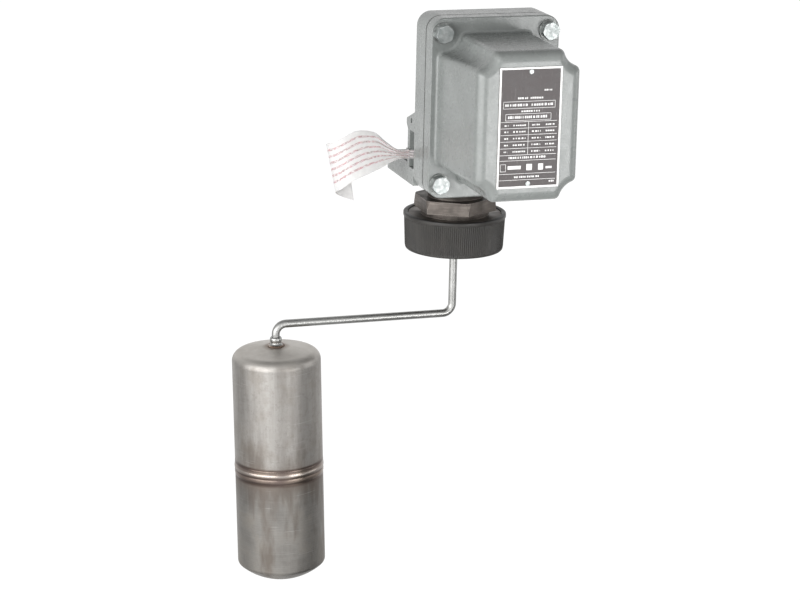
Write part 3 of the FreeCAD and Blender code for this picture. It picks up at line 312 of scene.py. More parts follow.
def float_steel():
    """Brushed cups with drawn streaks above, lathe lines below, weld tint at seam and boss, and painted
    light: a paler crown, a highlight on the weld's crest and shade in the grooves by the seam.
    """
    s = Shader("float_steel", Metallic=1.0)
    spot = s.local(FLOAT_SPOT, FLOAT_LEAN)
    height = s.axis("Z", spot)
    over_seam = s.math("SUBTRACT", height, FLOAT_SEAM + SEAM_RISE)
    below = s.span(over_seam, 0.004, -0.004)
    streak = s.noise(75, 6, s.stretched((1, 1, 0.12), spot), rough=0.62)
    fine_streak = s.noise(420, 5, s.stretched((1, 1, 0.05), spot), rough=0.7)
    cloud = s.noise(34, 7, spot, rough=0.65)
    lathe = s.noise(900, 4, s.stretched((0.012, 0.012, 2.6), spot))
    upper = s.ramp(streak, (0.34, (0.26, 0.245, 0.229)), (0.50, (0.345, 0.330, 0.312)),
                   (0.66, (0.40, 0.386, 0.366)))
    lower = s.ramp(cloud, (0.32, (0.195, 0.185, 0.172)), (0.68, (0.295, 0.286, 0.268)))
    lower = s.mix(s.span(lathe, 0.40, 0.70, 0.0, 0.22), lower, (0.38, 0.37, 0.35))
    steel = s.mix(below, upper, lower)
    steel = s.mix(s.span(fine_streak, 0.48, 0.75, 0.0, 0.38), steel, (0.30, 0.285, 0.265))
    steel = s.mix(s.span(cloud, 0.50, 0.68, 0.0, 0.60), steel, (0.26, 0.235, 0.205))
    speckle = s.span(s.noise(260, 5, spot, rough=0.75), 0.50, 0.68, 0.0, 0.45)
    steel = s.mix(speckle, steel, (0.22, 0.20, 0.185))
    # a paler crown, painted in as bright reflected light on the upward-facing cone, and stains that
    # climb from the seam or stand alone
    steel = s.mix(s.span(height, -0.0265, -0.0230, 0.0, 0.62), steel, (0.62, 0.59, 0.55))
    stain = s.span(s.noise(38, 4, s.stretched((1, 1, 0.30), spot), rough=0.6), 0.49, 0.61)
    climb = s.math("MAXIMUM", s.span(over_seam, 0.045, 0.004, 0.15, 1.0),
                   s.math("MULTIPLY", below, 0.6))
    stained = s.math("MULTIPLY", s.math("MULTIPLY", stain, climb), 0.78)
    steel = s.mix(stained, steel, (0.15, 0.128, 0.110))
    scratch = s.span(s.noise(700, 2, s.stretched((0.05, 0.05, 1.6), spot)), 0.66, 0.74, 0.0, 0.30)
    steel = s.mix(scratch, steel, (0.55, 0.54, 0.52))
    # drips of tint that run down from the seam
    reach = s.span(s.noise(160, 3, s.stretched((1, 1, 0.04), spot)), 0.3, 0.75, 0.0, 0.030)
    run = s.math("ADD", over_seam, reach)
    drips = s.math("MULTIPLY", s.span(run, -0.012, 0.004), below)
    steel = s.mix(s.math("MULTIPLY", drips, 0.72), steel, (0.155, 0.132, 0.115))
    near = s.band(over_seam, -0.0008, 0.0062, 0.0012)
    tint = s.ramp(s.noise(60, 4, spot), (0.35, (0.20, 0.150, 0.138)), (0.65, (0.34, 0.275, 0.225)))
    steel = s.mix(s.math("MULTIPLY", near, 0.75), steel, tint)
    # a painted highlight along the crest of the weld bead
    crest = s.band(over_seam, 0.0006, 0.0004, 0.0009)
    steel = s.mix(s.math("MULTIPLY", crest, 0.55), steel, (0.60, 0.565, 0.53))
    smoke_and_groove_shade = s.span(s.noise(45, 4, spot), 0.3, 0.7, 0.45, 1.0)
    haze = s.math("MULTIPLY", s.band(over_seam, -0.0010, 0.0060, 0.0075), smoke_and_groove_shade)
    steel = s.mix(s.math("MULTIPLY", haze, 0.45), steel, (0.19, 0.150, 0.125))
    # painted shade: dark lines in the grooves above the seam, just under the bead and at the lower
    # band's foot, uneven with the smoke
    for middle, half, soft in ((0.0048, 0.0006, 0.0015), (-0.0018, 0.0004, 0.0006),
                               (-0.0066, 0.0007, 0.0018)):
        line = s.math("MULTIPLY", s.band(over_seam, middle, half, soft), smoke_and_groove_shade)
        steel = s.mix(s.math("MULTIPLY", line, 0.85), steel, (0.06, 0.042, 0.036))
    # heat tint round the boss
    uneven = s.math("ADD", s.distance(spot), s.math("MULTIPLY", s.noise(300, 3, spot), 0.002))
    ring = s.span(uneven, 0.0068, 0.0125, 1.0, 0.0)
    ring = s.math("MULTIPLY", ring, s.span(height, -0.030, -0.024))
    steel = s.mix(s.math("MULTIPLY", ring, 0.85), steel, (0.17, 0.115, 0.08))
    s.colour(steel)
    s.rough(s.math("SUBTRACT", s.span(cloud, 0.3, 0.7, 0.40, 0.56), s.math("MULTIPLY", near, 0.16)))
    turned = s.math("MULTIPLY", s.math("SUBTRACT", lathe, 0.5), s.span(below, 0, 1, 0.25, 1.0))
    s.bump(s.math("ADD", turned, s.math("MULTIPLY", fine_streak, 0.4)), 0.00012, 0.35)
    return s.material


def zinc():
    """Bright zinc plate with a faint blue-green cast."""
    s = Shader("zinc_plate", Metallic=1.0)
    cloud = s.noise(260, 4)
    s.colour(s.ramp(cloud, (0.35, (0.33, 0.355, 0.35)), (0.65, (0.52, 0.54, 0.535))))
    s.rough(s.span(s.noise(500, 4), 0.3, 0.7, 0.38, 0.56))
    s.bump(s.noise(500, 3), 0.00003, 0.25, rounding=0.0004)
    return s.material


def dull_zinc():
    """Duller plate on stamped washers, grimy in patches."""
    s = Shader("dull_zinc", Metallic=0.9)
    grime_and_shade = s.noise(320, 5)
    s.colour(s.ramp(grime_and_shade, (0.35, (0.16, 0.165, 0.16)), (0.65, (0.36, 0.375, 0.365))))
    s.rough(s.span(grime_and_shade, 0.3, 0.7, 0.55, 0.38))
    s.bump(grime_and_shade, 0.00006, 0.3, rounding=0.0003)
    return s.material


def rubber():
    """Dusty black gasket rubber."""
    s = Shader("gasket_rubber")
    dust = s.noise(240, 4)
    s.colour(s.ramp(dust, (0.35, (0.016, 0.016, 0.015)), (0.7, (0.045, 0.044, 0.040))))
    s.rough(s.span(dust, 0.3, 0.7, 0.55, 0.8))
    s.bump(s.noise(1500, 3), 0.0001, 0.4)
    return s.material


def white_ptfe():
    """White, faintly translucent plastic with turning marks."""
    s = Shader("white_ptfe", Subsurface_Weight=0.1)
    turned = s.noise(500, 3, s.stretched((0.1, 0.1, 3)))
    s.colour(s.ramp(s.noise(120, 4), (0.3, (0.74, 0.74, 0.71)), (0.7, (0.82, 0.82, 0.80))))
    s.rough(s.span(turned, 0.3, 0.7, 0.35, 0.5))
    s.bump(turned, 0.00005, 0.3)
    return s.material


def machined_brass():
    """Turned brass, tarnished in patches."""
    s = Shader("machined_brass", Metallic=1.0)
    tarnish = s.noise(180, 5)
    s.colour(s.ramp(tarnish, (0.3, (0.42, 0.27, 0.10)), (0.7, (0.60, 0.42, 0.17))))
    s.rough(s.span(tarnish, 0.3, 0.7, 0.40, 0.24))
    s.bump(s.noise(700, 3, s.stretched((0.2, 2, 0.2))), 0.00005, 0.3, rounding=0.0003)
    return s.material


def phenolic():
    """Dark brown moulded switch material."""
    s = Shader("phenolic", Specular_IOR_Level=0.5)
    flow = s.noise(300, 6)
    s.colour(s.ramp(flow, (0.3, (0.022, 0.016, 0.013)), (0.7, (0.048, 0.036, 0.030))))
    s.rough(s.span(flow, 0.3, 0.7, 0.3, 0.45))
    s.bump(s.noise(900, 3), 0.00006, 0.3, rounding=0.0003)
    return s.material


def plate_ink():
    """Brown-grey printed field of the nameplate, a little rubbed."""
    s = Shader("plate_ink", Specular_IOR_Level=0.4)
    rub = s.noise(140, 5)
    field = s.ramp(rub, (0.3, (0.072, 0.063, 0.063)), (0.7, (0.115, 0.101, 0.101)))
    scuffs = s.span(s.noise(800, 4, s.stretched((1, 1, 0.2))), 0.62, 0.75, 0.0, 0.35)
    s.colour(s.mix(scuffs, field, (0.26, 0.24, 0.24)))
    s.rough(s.span(rub, 0.3, 0.7, 0.34, 0.5))
    s.bump(s.noise(1200, 3), 0.00005, 0.3)
    return s.material


def plate_bare():
    """Bare anodised aluminium where the plate isn't inked."""
    s = Shader("plate_bare", Metallic=0.3)
    grain = s.noise(600, 4, s.stretched((0.1, 1, 2)))
    s.colour(s.ramp(grain, (0.3, (0.70, 0.69, 0.68)), (0.7, (0.84, 0.83, 0.82))))
    s.rough(s.span(grain, 0.3, 0.7, 0.35, 0.5))
    s.bump(grain, 0.00003, 0.3)
    return s.material


def weld_metal():
    """Straw and brown tinted weld, bright on its ripples."""
    s = Shader("weld_metal", Metallic=1.0)
    spot = s.local(FLOAT_SPOT, FLOAT_LEAN)
    heat = s.noise(240, 4, spot)
    s.colour(s.ramp(heat, (0.30, (0.085, 0.058, 0.045)), (0.55, (0.20, 0.150, 0.12)),
                    (0.75, (0.42, 0.36, 0.32))))
    s.rough(s.span(heat, 0.3, 0.7, 0.40, 0.24))
    s.bump(s.noise(900, 3, spot), 0.0001, 0.3)
    return s.material


# The tag's flat size and its printed rows, in millimetres, and the area of its narrowing shape.
TAG_WIDTH, TAG_LENGTH, TAG_AREA = 37.0, 118.0, 0.0031
ROW_PITCH = 4.9


def tag_card():
    """White paper with broken rows of faded red print on its outer side."""
    s = Shader("tag_card", Specular_IOR_Level=0.3, Subsurface_Weight=0.05)
    flat = s.add("ShaderNodeAttribute", attribute_name="flat_place").outputs["Vector"]
    across = s.axis("Y", flat)
    fibre = s.noise(300, 5)
    paper = s.ramp(fibre, (0.3, (0.78, 0.765, 0.755)), (0.7, (0.86, 0.845, 0.835)))
    row = s.math("FRACT", s.math("DIVIDE", across, ROW_PITCH))
    on_row = s.band(row, 0.5, 0.13, 0.08)
    inside = s.math("MULTIPLY", s.span(across, 4.0, 5.0), s.span(across, 33.5, 32.5))
    words = s.span(s.noise(0.34, 1, s.stretched((1, 5, 0), flat)), 0.44, 0.49)
    marks = s.span(s.noise(3.2, 2, s.stretched((1, 0.6, 0), flat)), 0.38, 0.60, 0.35, 1.0)
    ink = s.math("MULTIPLY", s.math("MULTIPLY", on_row, inside), s.math("MULTIPLY", words, marks))
    ink = s.math("MULTIPLY", ink, s.axis("Z", flat))
    red = s.ramp(s.noise(0.25, 2, flat), (0.35, (0.30, 0.16, 0.155)), (0.65, (0.55, 0.13, 0.17)))
    halo = s.math("MULTIPLY", s.math("MULTIPLY", s.band(row, 0.5, 0.18, 0.24), inside),
                  s.axis("Z", flat))
    paper = s.mix(s.math("MULTIPLY", halo, 0.12), paper, (0.80, 0.60, 0.60))
    s.colour(s.mix(s.math("MULTIPLY", ink, 0.9), paper, red))
    s.rough(s.span(fibre, 0.3, 0.7, 0.7, 0.85))
    s.bump(fibre, 0.0001, 0.25)
    return s.material


MATERIALS = {
    "enclosure_paint": casting_paint(),
    "bushing_steel": black_steel(),
    "protector_plastic": black_plastic(),
    "stainless": drawn_steel(),
    "float_steel": float_steel(),
    "plated_steel": zinc(),
    "gasket_rubber": rubber(),
    "ptfe": white_ptfe(),
    "brass": machined_brass(),
    "phenolic": phenolic(),
    "nameplate_metal": plate_ink(),
    "tag_paper": tag_card(),
}


def dress_nodes():
    """Gives each CAD node the material of its slot."""
    for part in frame["record"]["subparts"]:
        mesh = nodes[part["node"]].data
        mesh.materials.clear()
        mesh.materials.append(MATERIALS[part["material_slot"]])
    nodes["bolt_washers"].data.materials[0] = dull_zinc()


# ---- fine pieces -----------------------------------------------------------------------------

def piece(name, bm, slot, body, material=None, smooth=True):
    """Makes an object of a bmesh, which rides on a body."""
    bmesh.ops.recalc_face_normals(bm, faces=bm.faces)
    for face in bm.faces:
        face.smooth = smooth
    mesh = bpy.data.meshes.new(name)
    bm.to_mesh(mesh)
    bm.free()
    mesh.materials.append(material or MATERIALS[slot])
    obj = bpy.data.objects.new(name, mesh)
    bpy.context.scene.collection.objects.link(obj)
    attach(obj, body)
    return obj


def join_loops(bm, loops, closed=True):
    """Faces between loops of vertices, each loop closed on itself."""
    count = len(loops[0])
    pairs = zip(loops, loops[1:] + loops[:1]) if closed else zip(loops, loops[1:])
    for a, b in pairs:
        for i in range(count):
            j = (i + 1) % count
            bm.faces.new((a[i], a[j], b[j], b[i]))


def arc(centre, radius, start, end, steps):
    """Points of an arc in a profile, by angle in degrees."""
    turns = [math.radians(start + (end - start) * i / steps) for i in range(steps + 1)]
    return [(centre[0] + radius * math.cos(t), centre[1] + radius * math.sin(t)) for t in turns]


def protector():
    """The moulded ring: a smooth rim band over a tapering skirt of fine upright ribs."""
    ribs, per_rib = 150, 6
    bore, rim, skirt_top, skirt_foot = 36.9, 40.6, 39.75, 38.7
    foot, rib_foot, rib_top, rim_foot = -29.3, -28.0, -3.3, -3.2
    crest = [-0.45, -0.10, 0.25, 0.25, -0.10, -0.45]
    outline = [(bore, foot + 0.4), (bore + 0.4, foot)]
    outline += arc((skirt_foot - 1.2, foot + 1.2), 1.2, -90, -8, 5)
    rib_rows = range(len(outline), len(outline) + 4)
    for share in (0.0, 0.06, 0.94, 1.0):
        z = rib_foot + (rib_top - rib_foot) * share
        outline.append((skirt_foot + (skirt_top - skirt_foot) * share, z))
    outline += [(rim - 0.35, rim_foot)] + arc((rim - 0.45, rim_foot + 0.45), 0.45, -60, 0, 3)
    outline += arc((rim - 0.8, -0.8), 0.8, 0, 90, 5) + arc((bore + 0.8, -0.8), 0.8, 90, 180, 3)
    raised = (rib_rows[1], rib_rows[2])
    bm = bmesh.new()
    count = ribs * per_rib
    loops = []
    for row, (radius, z) in enumerate(outline):
        loop = []
        for i in range(count):
            turn = 2 * math.pi * i / count
            r = radius + (crest[i % per_rib] if row in raised else 0)
            loop.append(bm.verts.new((r * MM * math.cos(turn), r * MM * math.sin(turn), z * MM)))
        loops.append(loop)
    join_loops(bm, loops)
    ring = piece("protector_ring", bm, "protector_plastic", "protector")
    ring.data.set_sharp_from_angle(angle=math.radians(40))
    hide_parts("thread_protector")


def on_float(x, y, z):
    """A place in the float's own frame, given in metres."""
    return FLOAT_SPOT + Matrix.Rotation(FLOAT_LEAN, 3, "Y") @ Vector((x, y, z))


def float_ring(name, outline, segments, ripple, depth, seed, slot="float_steel", material=None):
    """A rippled ring round the float's axis; the outline is (radius, height) in metres."""
    chance = random.Random(seed)
    uneven = [chance.uniform(0.6, 1.0) for _ in range(ripple)]
    bm = bmesh.new()
    loops = []
    for radius, z, share in outline:
        loop = []
        for i in range(segments):
            turn = 2 * math.pi * i / segments
            wave = i / segments * ripple
            lift = depth * share * uneven[int(wave) % ripple] * abs(math.sin(math.pi * wave))
            r = radius + lift
            loop.append(bm.verts.new(on_float(r * math.cos(turn), r * math.sin(turn), z)))
        loops.append(loop)
    join_loops(bm, loops)
    return piece(name, bm, slot, "lever", material)


# Height over the seam and how far the joined rims and their weld stand out, in millimetres.
SEAM_PROFILE = [
    (5.0, -0.1), (4.6, 0.06), (3.4, 0.12), (2.0, 0.10), (1.35, 0.22), (0.9, 0.40), (0.3, 0.48),
    (-0.3, 0.48), (-0.9, 0.40), (-1.4, 0.12), (-1.9, 0.02), (-2.5, 0.16), (-3.4, 0.28),
    (-4.6, 0.30), (-5.6, 0.18), (-6.3, -0.1),
]


def float_welds():
    """The rippled weld at the seam and the ring of weld round the boss."""
    bead_rise = 0.3
    middle = FLOAT_SEAM + SEAM_RISE
    outline = [(FLOAT_RADIUS + out * MM, middle + z * MM, 1.0 if out > bead_rise and z > -1 else 0.0)
               for z, out in SEAM_PROFILE]
    outline += [(FLOAT_RADIUS - 0.3 * MM, middle + z * MM, 0.0) for z in (-6.0, 4.7)]
    seam = float_ring("seam_weld", outline, 720, 180, -0.06 * MM, 5)
    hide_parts("seam_bead")
    foot = FLOAT_CROWN + 0.1 * MM
    ring = [(0.0058 + 0.0009 * math.cos(t), foot + 0.0008 * math.sin(t), 0.5 + 0.5 * math.cos(t))
            for t in (2 * math.pi * i / 12 for i in range(12))]
    float_ring("boss_weld", ring, 240, 24, 0.25 * MM, 9, material=weld_metal())


def float_boss():
    """The sleeve on the crown, rounded over at its top and drawn in above its foot."""
    bore, belly = 3.2, 4.7
    profile = [(bore, 7.0), (3.6, 7.0), (4.2, 6.6), (4.6, 5.9), (belly, 5.0), (4.65, 4.0), (4.35, 3.1),
               (4.1, 2.3), (4.3, 1.5), (4.9, 0.9), (5.9, 0.4), (6.3, -0.1), (bore, -0.1)]
    outline = [(r * MM, FLOAT_CROWN + z * MM, 0.0) for r, z in profile]
    sleeve = float_ring("boss_sleeve", outline, 96, 1, 0.0, 1, slot="stainless")
    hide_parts("float_boss")


def pipe_thread():
    """The taper thread's ridges, eight to the inch, in the protector's shade."""
    pitch, steps, proud, half, run_out = 3.175, 96, 0.3, 1.1, 24
    top, foot, r_top, r_foot = -2.4, -26.4, 36.5, 35.75
    count = int((top - foot - 2 * half) / pitch * steps)
    bm = bmesh.new()
    rows = []
    for i in range(count + 1):
        angle = 2 * math.pi * i / steps
        z = foot + half + pitch * i / steps
        surface = r_foot + (r_top - r_foot) * (z - foot) / (top - foot)
        fade = min(1, i / run_out, (count - i) / run_out)
        spots = [(surface - 0.1, z - half), (surface - 0.05 + proud * fade, z),
                 (surface - 0.1, z + half), (surface - 0.4, z)]
        rows.append([bm.verts.new((r * MM * math.cos(angle), r * MM * math.sin(angle), h * MM))
                     for r, h in spots])
    join_loops(bm, rows, closed=False)
    for end in (rows[0], rows[-1]):
        bm.faces.new(end)
    piece("pipe_thread_ridges", bm, "bushing_steel", "housing", smooth=False)


def bar(bm, x0, x1, z0, z1, y0, y1):
    """A thin upright slab between two corners."""
    spots = [(x, y, z) for y in (y0, y1) for x, z in ((x0, z0), (x1, z0), (x1, z1), (x0, z1))]
    verts = [bm.verts.new(spot) for spot in spots]
    for a, b, c, d in ((0, 1, 2, 3), (4, 5, 6, 7), (0, 1, 5, 4), (1, 2, 6, 5), (2, 3, 7, 6),
                       (3, 0, 4, 7)):
        bm.faces.new((verts[a], verts[b], verts[c], verts[d]))


# The nameplate's rows, as shares of its height from the top and of its width from the left.
# Lines of dashes: middle, height, and from where to where; rules: middle, from, to.
PLATE_DASHES = [
    (0.190, 0.014, 0.72, 0.84), (0.252, 0.016, 0.30, 0.46), (0.252, 0.016, 0.50, 0.72),
    (0.308, 0.020, 0.10, 0.46), (0.308, 0.020, 0.52, 0.86), (0.360, 0.014, 0.36, 0.66),
    (0.408, 0.022, 0.15, 0.78), (0.743, 0.018, 0.18, 0.78), (0.905, 0.016, 0.28, 0.68),
    (0.950, 0.014, 0.84, 0.92),
] + [(z, 0.013, a, b) for z in (0.475, 0.528, 0.583, 0.638, 0.693)
     for a, b in ((0.10, 0.16), (0.24, 0.44), (0.54, 0.68), (0.76, 0.90))]
PLATE_RULES = [(z, 0.04, 0.94) for z in (0.447, 0.500, 0.555, 0.610, 0.666, 0.722, 0.768, 0.878, 0.930)]
PLATE_UPRIGHT, PLATE_UPRIGHT_FROM, PLATE_UPRIGHT_TO = 0.482, 0.447, 0.722
PLATE_FRAMES = [(0.278, 0.338, 0.07, 0.90), (0.380, 0.437, 0.11, 0.84), (0.795, 0.858, 0.05, 0.14)]
PLATE_BLOCKS = [(0.826, 0.028, 0.17, 0.38), (0.826, 0.052, 0.47, 0.56), (0.826, 0.052, 0.66, 0.74),
                (0.834, 0.018, 0.78, 0.88)]


def nameplate_print():
    """Bare metal border, rules and plain dashes, a little proud of the inked field."""
    low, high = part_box("nameplate")
    proud, sunk = low.y - 0.00006, low.y + 0.0001
    width, height = high.x - low.x, high.z - low.z
    thin, border = 0.00028, 0.0015
    bm = bmesh.new()

    def spot(across, down):
        return low.x + width * across, high.z - height * down

    def slab(a, b, top, bottom):
        x0, z1 = spot(a, top)
        x1, z0 = spot(b, bottom)
        bar(bm, x0, x1, z0, z1, proud, sunk)

    rim_x, rim_z = border / width, border / height
    for a, b, top, bottom in ((0, 1, 0, rim_z), (0, 1, 1 - rim_z, 1), (0, rim_x, rim_z, 1 - rim_z),
                              (1 - rim_x, 1, rim_z, 1 - rim_z)):
        slab(a, b, top, bottom)
    half = thin / height / 2
    for middle, a, b in PLATE_RULES:
        slab(a, b, middle - half, middle + half)
    slab(PLATE_UPRIGHT - thin / width / 2, PLATE_UPRIGHT + thin / width / 2, PLATE_UPRIGHT_FROM,
         PLATE_UPRIGHT_TO)
    for top, bottom, a, b in PLATE_FRAMES:
        across = thin / width
        for edges in ((a, b, top, top + 2 * half), (a, b, bottom - 2 * half, bottom),
                      (a, a + across, top, bottom), (b - across, b, top, bottom)):
            slab(*edges)
    for middle, tall, a, b in PLATE_BLOCKS:
        slab(a, b, middle - tall / 2, middle + tall / 2)
    chance = random.Random(3)
    for middle, tall, a, b in PLATE_DASHES:
        at = a
        while at < b:
            end = min(b, at + chance.uniform(0.012, 0.034))
            slab(at, end, middle - tall / 2 * chance.uniform(0.7, 1), middle + tall / 2)
            at = end + chance.choice((0.010, 0.010, 0.022))
    piece("nameplate_print", bm, "nameplate_metal", "housing", material=plate_bare(), smooth=False)


# ---- paper tag -------------------------------------------------------------------------------

# How far the paper has run out from the post, how far it stands forward, and the heights of its
# lower and upper edges, as shares of its reach and width; the lean moves the upper edge along.
TAG_STATIONS = [
    (0.00, 0.01, -0.11, 0.11, 0.00), (0.12, 0.02, -0.09, 0.12, 0.03), (0.24, 0.04, -0.15, 0.30, 0.06),
    (0.36, 0.07, -0.24, 0.52, 0.10), (0.54, 0.11, -0.35, 0.58, 0.15), (0.72, 0.11, -0.48, 0.45, 0.14),
    (0.84, 0.04, -0.66, 0.33, 0.13), (0.88, -0.08, -0.77, 0.26, 0.13), (0.84, -0.19, -0.87, 0.15, 0.11),
    (0.72, -0.25, -0.98, 0.00, 0.09), (0.60, -0.27, -1.06, -0.25, 0.07),
]
TAG_START = Vector((-43.75, -13.0, 51.0))
TAG_REACH, TAG_THICK = 64.0, 0.22
TAIL_HEIGHT, LOOP_GAP = 7.2, 0.6
# The pleats: their depth, the share of the run that they take, and their half waves.
PLEAT_DEPTH, PLEATED_SHARE, PLEAT_WAVES = 0.9, 0.42, 9
POST_LOW, POST_HIGH = Vector((-43.0, -13.0)), Vector((-39.0, -8.0))


def along_stations(share):
    """The five station values at a share of the run, on a smooth curve through the stations."""
    last = len(TAG_STATIONS) - 1
    place = share * last
    i = min(int(place), last - 1)
    t = place - i
    four = [TAG_STATIONS[min(max(k, 0), last)] for k in (i - 1, i, i + 1, i + 2)]
    values = []
    for a, b, c, d in zip(*four):
        values.append(0.5 * (2 * b + (c - a) * t + (2 * a - 5 * b + 4 * c - d) * t ** 2
                             + (3 * b - a - 3 * c + d) * t ** 3))
    return values


def tag_point(share, up):
    """A place on the sheet: share of its run, and share of its width from the lower edge."""
    along, out, low, high, lean = along_stations(share)
    foot = Vector((-along * TAG_REACH, -out * TAG_REACH, low * TAG_WIDTH))
    head = Vector((-(along + lean) * TAG_REACH, -out * TAG_REACH, high * TAG_WIDTH))
    return TAG_START + foot.lerp(head, up)


def sheet_grid(columns, rows):
    """Points and normals of the sheet, with pleats where the tail gathers it."""
    grid = []
    for i in range(columns + 1):
        share = i / columns
        line = []
        for j in range(rows + 1):
            up = j / rows
            spot = tag_point(share, up)
            step = 0.002
            ahead = tag_point(min(1, share + step), up) - tag_point(max(0, share - step), up)
            rise = tag_point(share, min(1, up + step)) - tag_point(share, max(0, up - step))
            normal = rise.cross(ahead).normalized()
            pleat = PLEAT_DEPTH * max(0, 1 - share / PLEATED_SHARE) ** 1.3
            spot = spot + normal * pleat * math.sin(up * math.pi * PLEAT_WAVES + share * 7)
            line.append((spot, normal, share, up))
        grid.append(line)
    return grid


def loop_grid(rows):
    """Points and normals of the gathered tail where it goes round the post."""
    gap = Vector((LOOP_GAP, LOOP_GAP))
    low, high = POST_LOW - gap, POST_HIGH + gap
    corners = [((low.x, low.y), 180), ((high.x, low.y), 270), ((high.x, high.y), 0),
               ((low.x, high.y), 90)]
    path = []
    for (x, y), start in corners:
        for k in range(5):
            turn = math.radians(start + 90 * k / 4)
            path.append((Vector((x, y)) + Vector((math.cos(turn), math.sin(turn))) * 0.15,
                         Vector((math.cos(turn), math.sin(turn)))))
    grid = []
    for i, (spot, out) in enumerate(path):
        line = []
        for j in range(rows + 1):
            up = j / rows
            pleat = 0.16 * math.sin(up * math.pi * 7 + i * 0.35)
            z = TAG_START.z - TAIL_HEIGHT / 2 + TAIL_HEIGHT * up + 0.3 * math.sin(i * 0.8)
            normal = Vector((out.x, out.y, 0))
            line.append((Vector((spot.x, spot.y, z)) + normal * pleat, normal, -0.05, up))
        grid.append(line)
    return grid


def two_sided(bm, layer, grid, closed=False):
    """A thin sheet of two faces and its edges; the layer holds each place on the flat sheet."""
    sides = []
    for sign in (0.5, -0.5):
        verts = []
        for line in grid:
            column = []
            for spot, normal, share, up in line:
                vert = bm.verts.new((spot + normal * TAG_THICK * sign) * MM)
                vert[layer] = (share * TAG_LENGTH, up * TAG_WIDTH, 1.0 if sign > 0 else 0.0)
                column.append(vert)
            verts.append(column)
        sides.append(verts)
    outer, inner = sides
    count = len(grid)
    for i in range(count if closed else count - 1):
        k = (i + 1) % count
        for j in range(len(grid[0]) - 1):
            bm.faces.new((outer[i][j], outer[k][j], outer[k][j + 1], outer[i][j + 1]))
            bm.faces.new((inner[i][j], inner[i][j + 1], inner[k][j + 1], inner[k][j]))
        for j in (0, -1):
            bm.faces.new((outer[i][j], outer[k][j], inner[k][j], inner[i][j]))
    if not closed:
        for i in (0, -1):
            for j in range(len(grid[0]) - 1):
                bm.faces.new((outer[i][j], outer[i][j + 1], inner[i][j + 1], inner[i][j]))


def paper_tag():
    """The curling tag, printed on its outer side, tied round the post by its gathered tail."""
    bm = bmesh.new()
    layer = bm.verts.layers.float_vector.new("flat_place")
    two_sided(bm, layer, sheet_grid(150, 60))
    two_sided(bm, layer, loop_grid(30), closed=True)
    tag = piece("tag_sheet", bm, "tag_paper", "housing")
    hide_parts("paper_tag")


# ---- stage, light and camera -----------------------------------------------------------------

FLOOR_DROP, FLOOR_HALF = 60 * MM, 4.0
FLOOR_SEEN_LEVEL, FLOOR_SEEN_SHARE = 1.1, 0.94


def backdrop():
    """A pale floor well below the float."""
    low = cad_box[0].z - FLOOR_DROP
    corners = [(x * FLOOR_HALF, y * FLOOR_HALF, low) for x, y in ((-1, -1), (1, -1), (1, 1), (-1, 1))]
    bm = bmesh.new()
    bm.faces.new([bm.verts.new(corner) for corner in corners])
    mesh = bpy.data.meshes.new("floor")
    bm.to_mesh(mesh)
    bm.free()
    floor = bpy.data.objects.new("floor", mesh)
    bpy.context.scene.collection.objects.link(floor)
    s = Shader("floor_white", Roughness=0.9, Specular_IOR_Level=0.0)
    s.colour((0.9, 0.9, 0.9, 1))
    from_float = s.add("ShaderNodeVectorMath", operation="SUBTRACT")
    s.link(s.place, from_float.inputs[0])
    from_float.inputs[1].default_value = (FLOAT_SPOT.x, FLOAT_SPOT.y, low)
    bearing = s.add("ShaderNodeVectorMath", operation="NORMALIZE")
    s.link(from_float.outputs["Vector"], bearing.inputs[0])
    glow = s.add("ShaderNodeEmission")
    seen = s.span(s.path("Camera"), 0.0, 1.0, 0.0, FLOOR_SEEN_LEVEL)
    s.feed(glow.inputs["Strength"], s.math("MAXIMUM", s.sides(bearing.outputs["Vector"]), seen))
    join = s.add("ShaderNodeMixShader")
    looked_at = s.path("Camera", "Glossy", "Transmission")
    s.link(s.math("MULTIPLY", looked_at, FLOOR_SEEN_SHARE), join.inputs["Fac"])
    s.link(s.surface.outputs["BSDF"], join.inputs[1])
    s.link(glow.outputs["Emission"], join.inputs[2])
    s.link(join.outputs["Shader"], s.tree.nodes["Material Output"].inputs["Surface"])
    mesh.materials.append(s.material)


def surround():
    """White where it is seen; as light and in gloss, dimmer beside, overhead and in the gap."""
    world = bpy.data.worlds.new("surround")
    bpy.context.scene.world = world
    world.use_nodes = True
    s = Nodes(world.node_tree, "Generated")
    overhead = s.span(s.axis("Z"), 0.70, 0.98, 1.0, OVERHEAD_LEVEL)
    level = s.span(s.path("Glossy", "Transmission"), 0.0, 1.0, WORLD_LEVEL, 1.0)
    shaped = s.math("MULTIPLY", s.math("MULTIPLY", overhead, s.sides(s.place)), level)
    background = s.tree.nodes["Background"]
    background.inputs["Color"].default_value = (1, 1, 1, 1)
    s.feed(background.inputs["Strength"], s.math("MAXIMUM", shaped, s.path("Camera")))


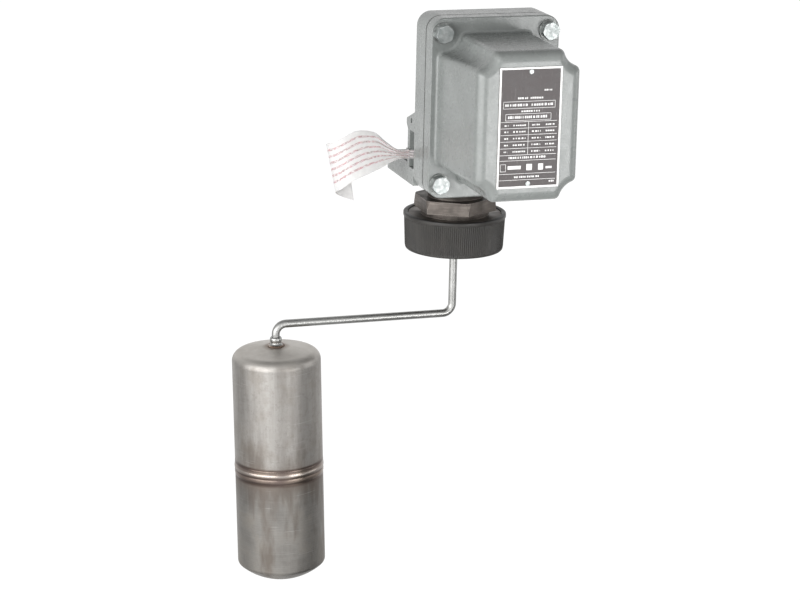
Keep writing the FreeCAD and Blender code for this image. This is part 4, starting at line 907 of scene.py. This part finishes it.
def lamp(name, at, size, energy, target=(0, 0, -0.05)):
    """A soft box at a place in metres, turned to its target and unseen by the camera."""
    light = bpy.data.lights.new(name, "AREA")
    light.shape = "RECTANGLE"
    light.size, light.size_y = size
    light.energy = energy
    obj = bpy.data.objects.new(name, light)
    bpy.context.scene.collection.objects.link(obj)
    obj.location = at
    obj.visible_camera = False
    obj.rotation_euler = (Vector(target) - Vector(at)).to_track_quat("-Z", "Y").to_euler()


def lights():
    """A wide soft box at the left, a low one in front for the cover's face, a weak one at the right."""
    lamp("key", (-1.42, -0.85, 0.08), (2.0, 1.0), 27, (0, 0, 0.0))
    lamp("front", (0.36, -1.06, -0.11), (0.50, 0.32), 3.6, (0.0, -0.1, 0.09))
    lamp("right", (1.45, -0.40, 0.1), (0.8, 1.0), 4.5)


CAMERA_AT = Vector((-639.2, -1837.1, 472.7)) * MM
CAMERA_AZIMUTH, CAMERA_ELEVATION, CAMERA_ROLL = -17.96, 15.70, 1.31
CAMERA_LENS, SENSOR_WIDTH = 114.0, 36


def camera():
    """The eye, turned by azimuth, elevation and roll in degrees."""
    azimuth, elevation, roll = (math.radians(a) for a in (CAMERA_AZIMUTH, CAMERA_ELEVATION, CAMERA_ROLL))
    back = Vector((math.sin(azimuth) * math.cos(elevation), -math.cos(azimuth) * math.cos(elevation),
                   math.sin(elevation)))
    right = (-back).cross(Vector((0, 0, 1))).normalized()
    up = right.cross(-back)
    level = Matrix((right, up, back)).transposed().to_4x4()
    data = bpy.data.cameras.new("camera")
    data.lens = CAMERA_LENS
    data.sensor_width = SENSOR_WIDTH
    eye = bpy.data.objects.new("camera", data)
    bpy.context.scene.collection.objects.link(eye)
    eye.matrix_world = Matrix.Translation(CAMERA_AT) @ level @ Matrix.Rotation(roll, 4, "Z")
    bpy.context.scene.camera = eye


bpy.context.scene.view_settings.view_transform = "Standard"
dress_nodes()
protector()
float_welds()
float_boss()
pipe_thread()
nameplate_print()
paper_tag()
backdrop()
surround()
lights()
camera()
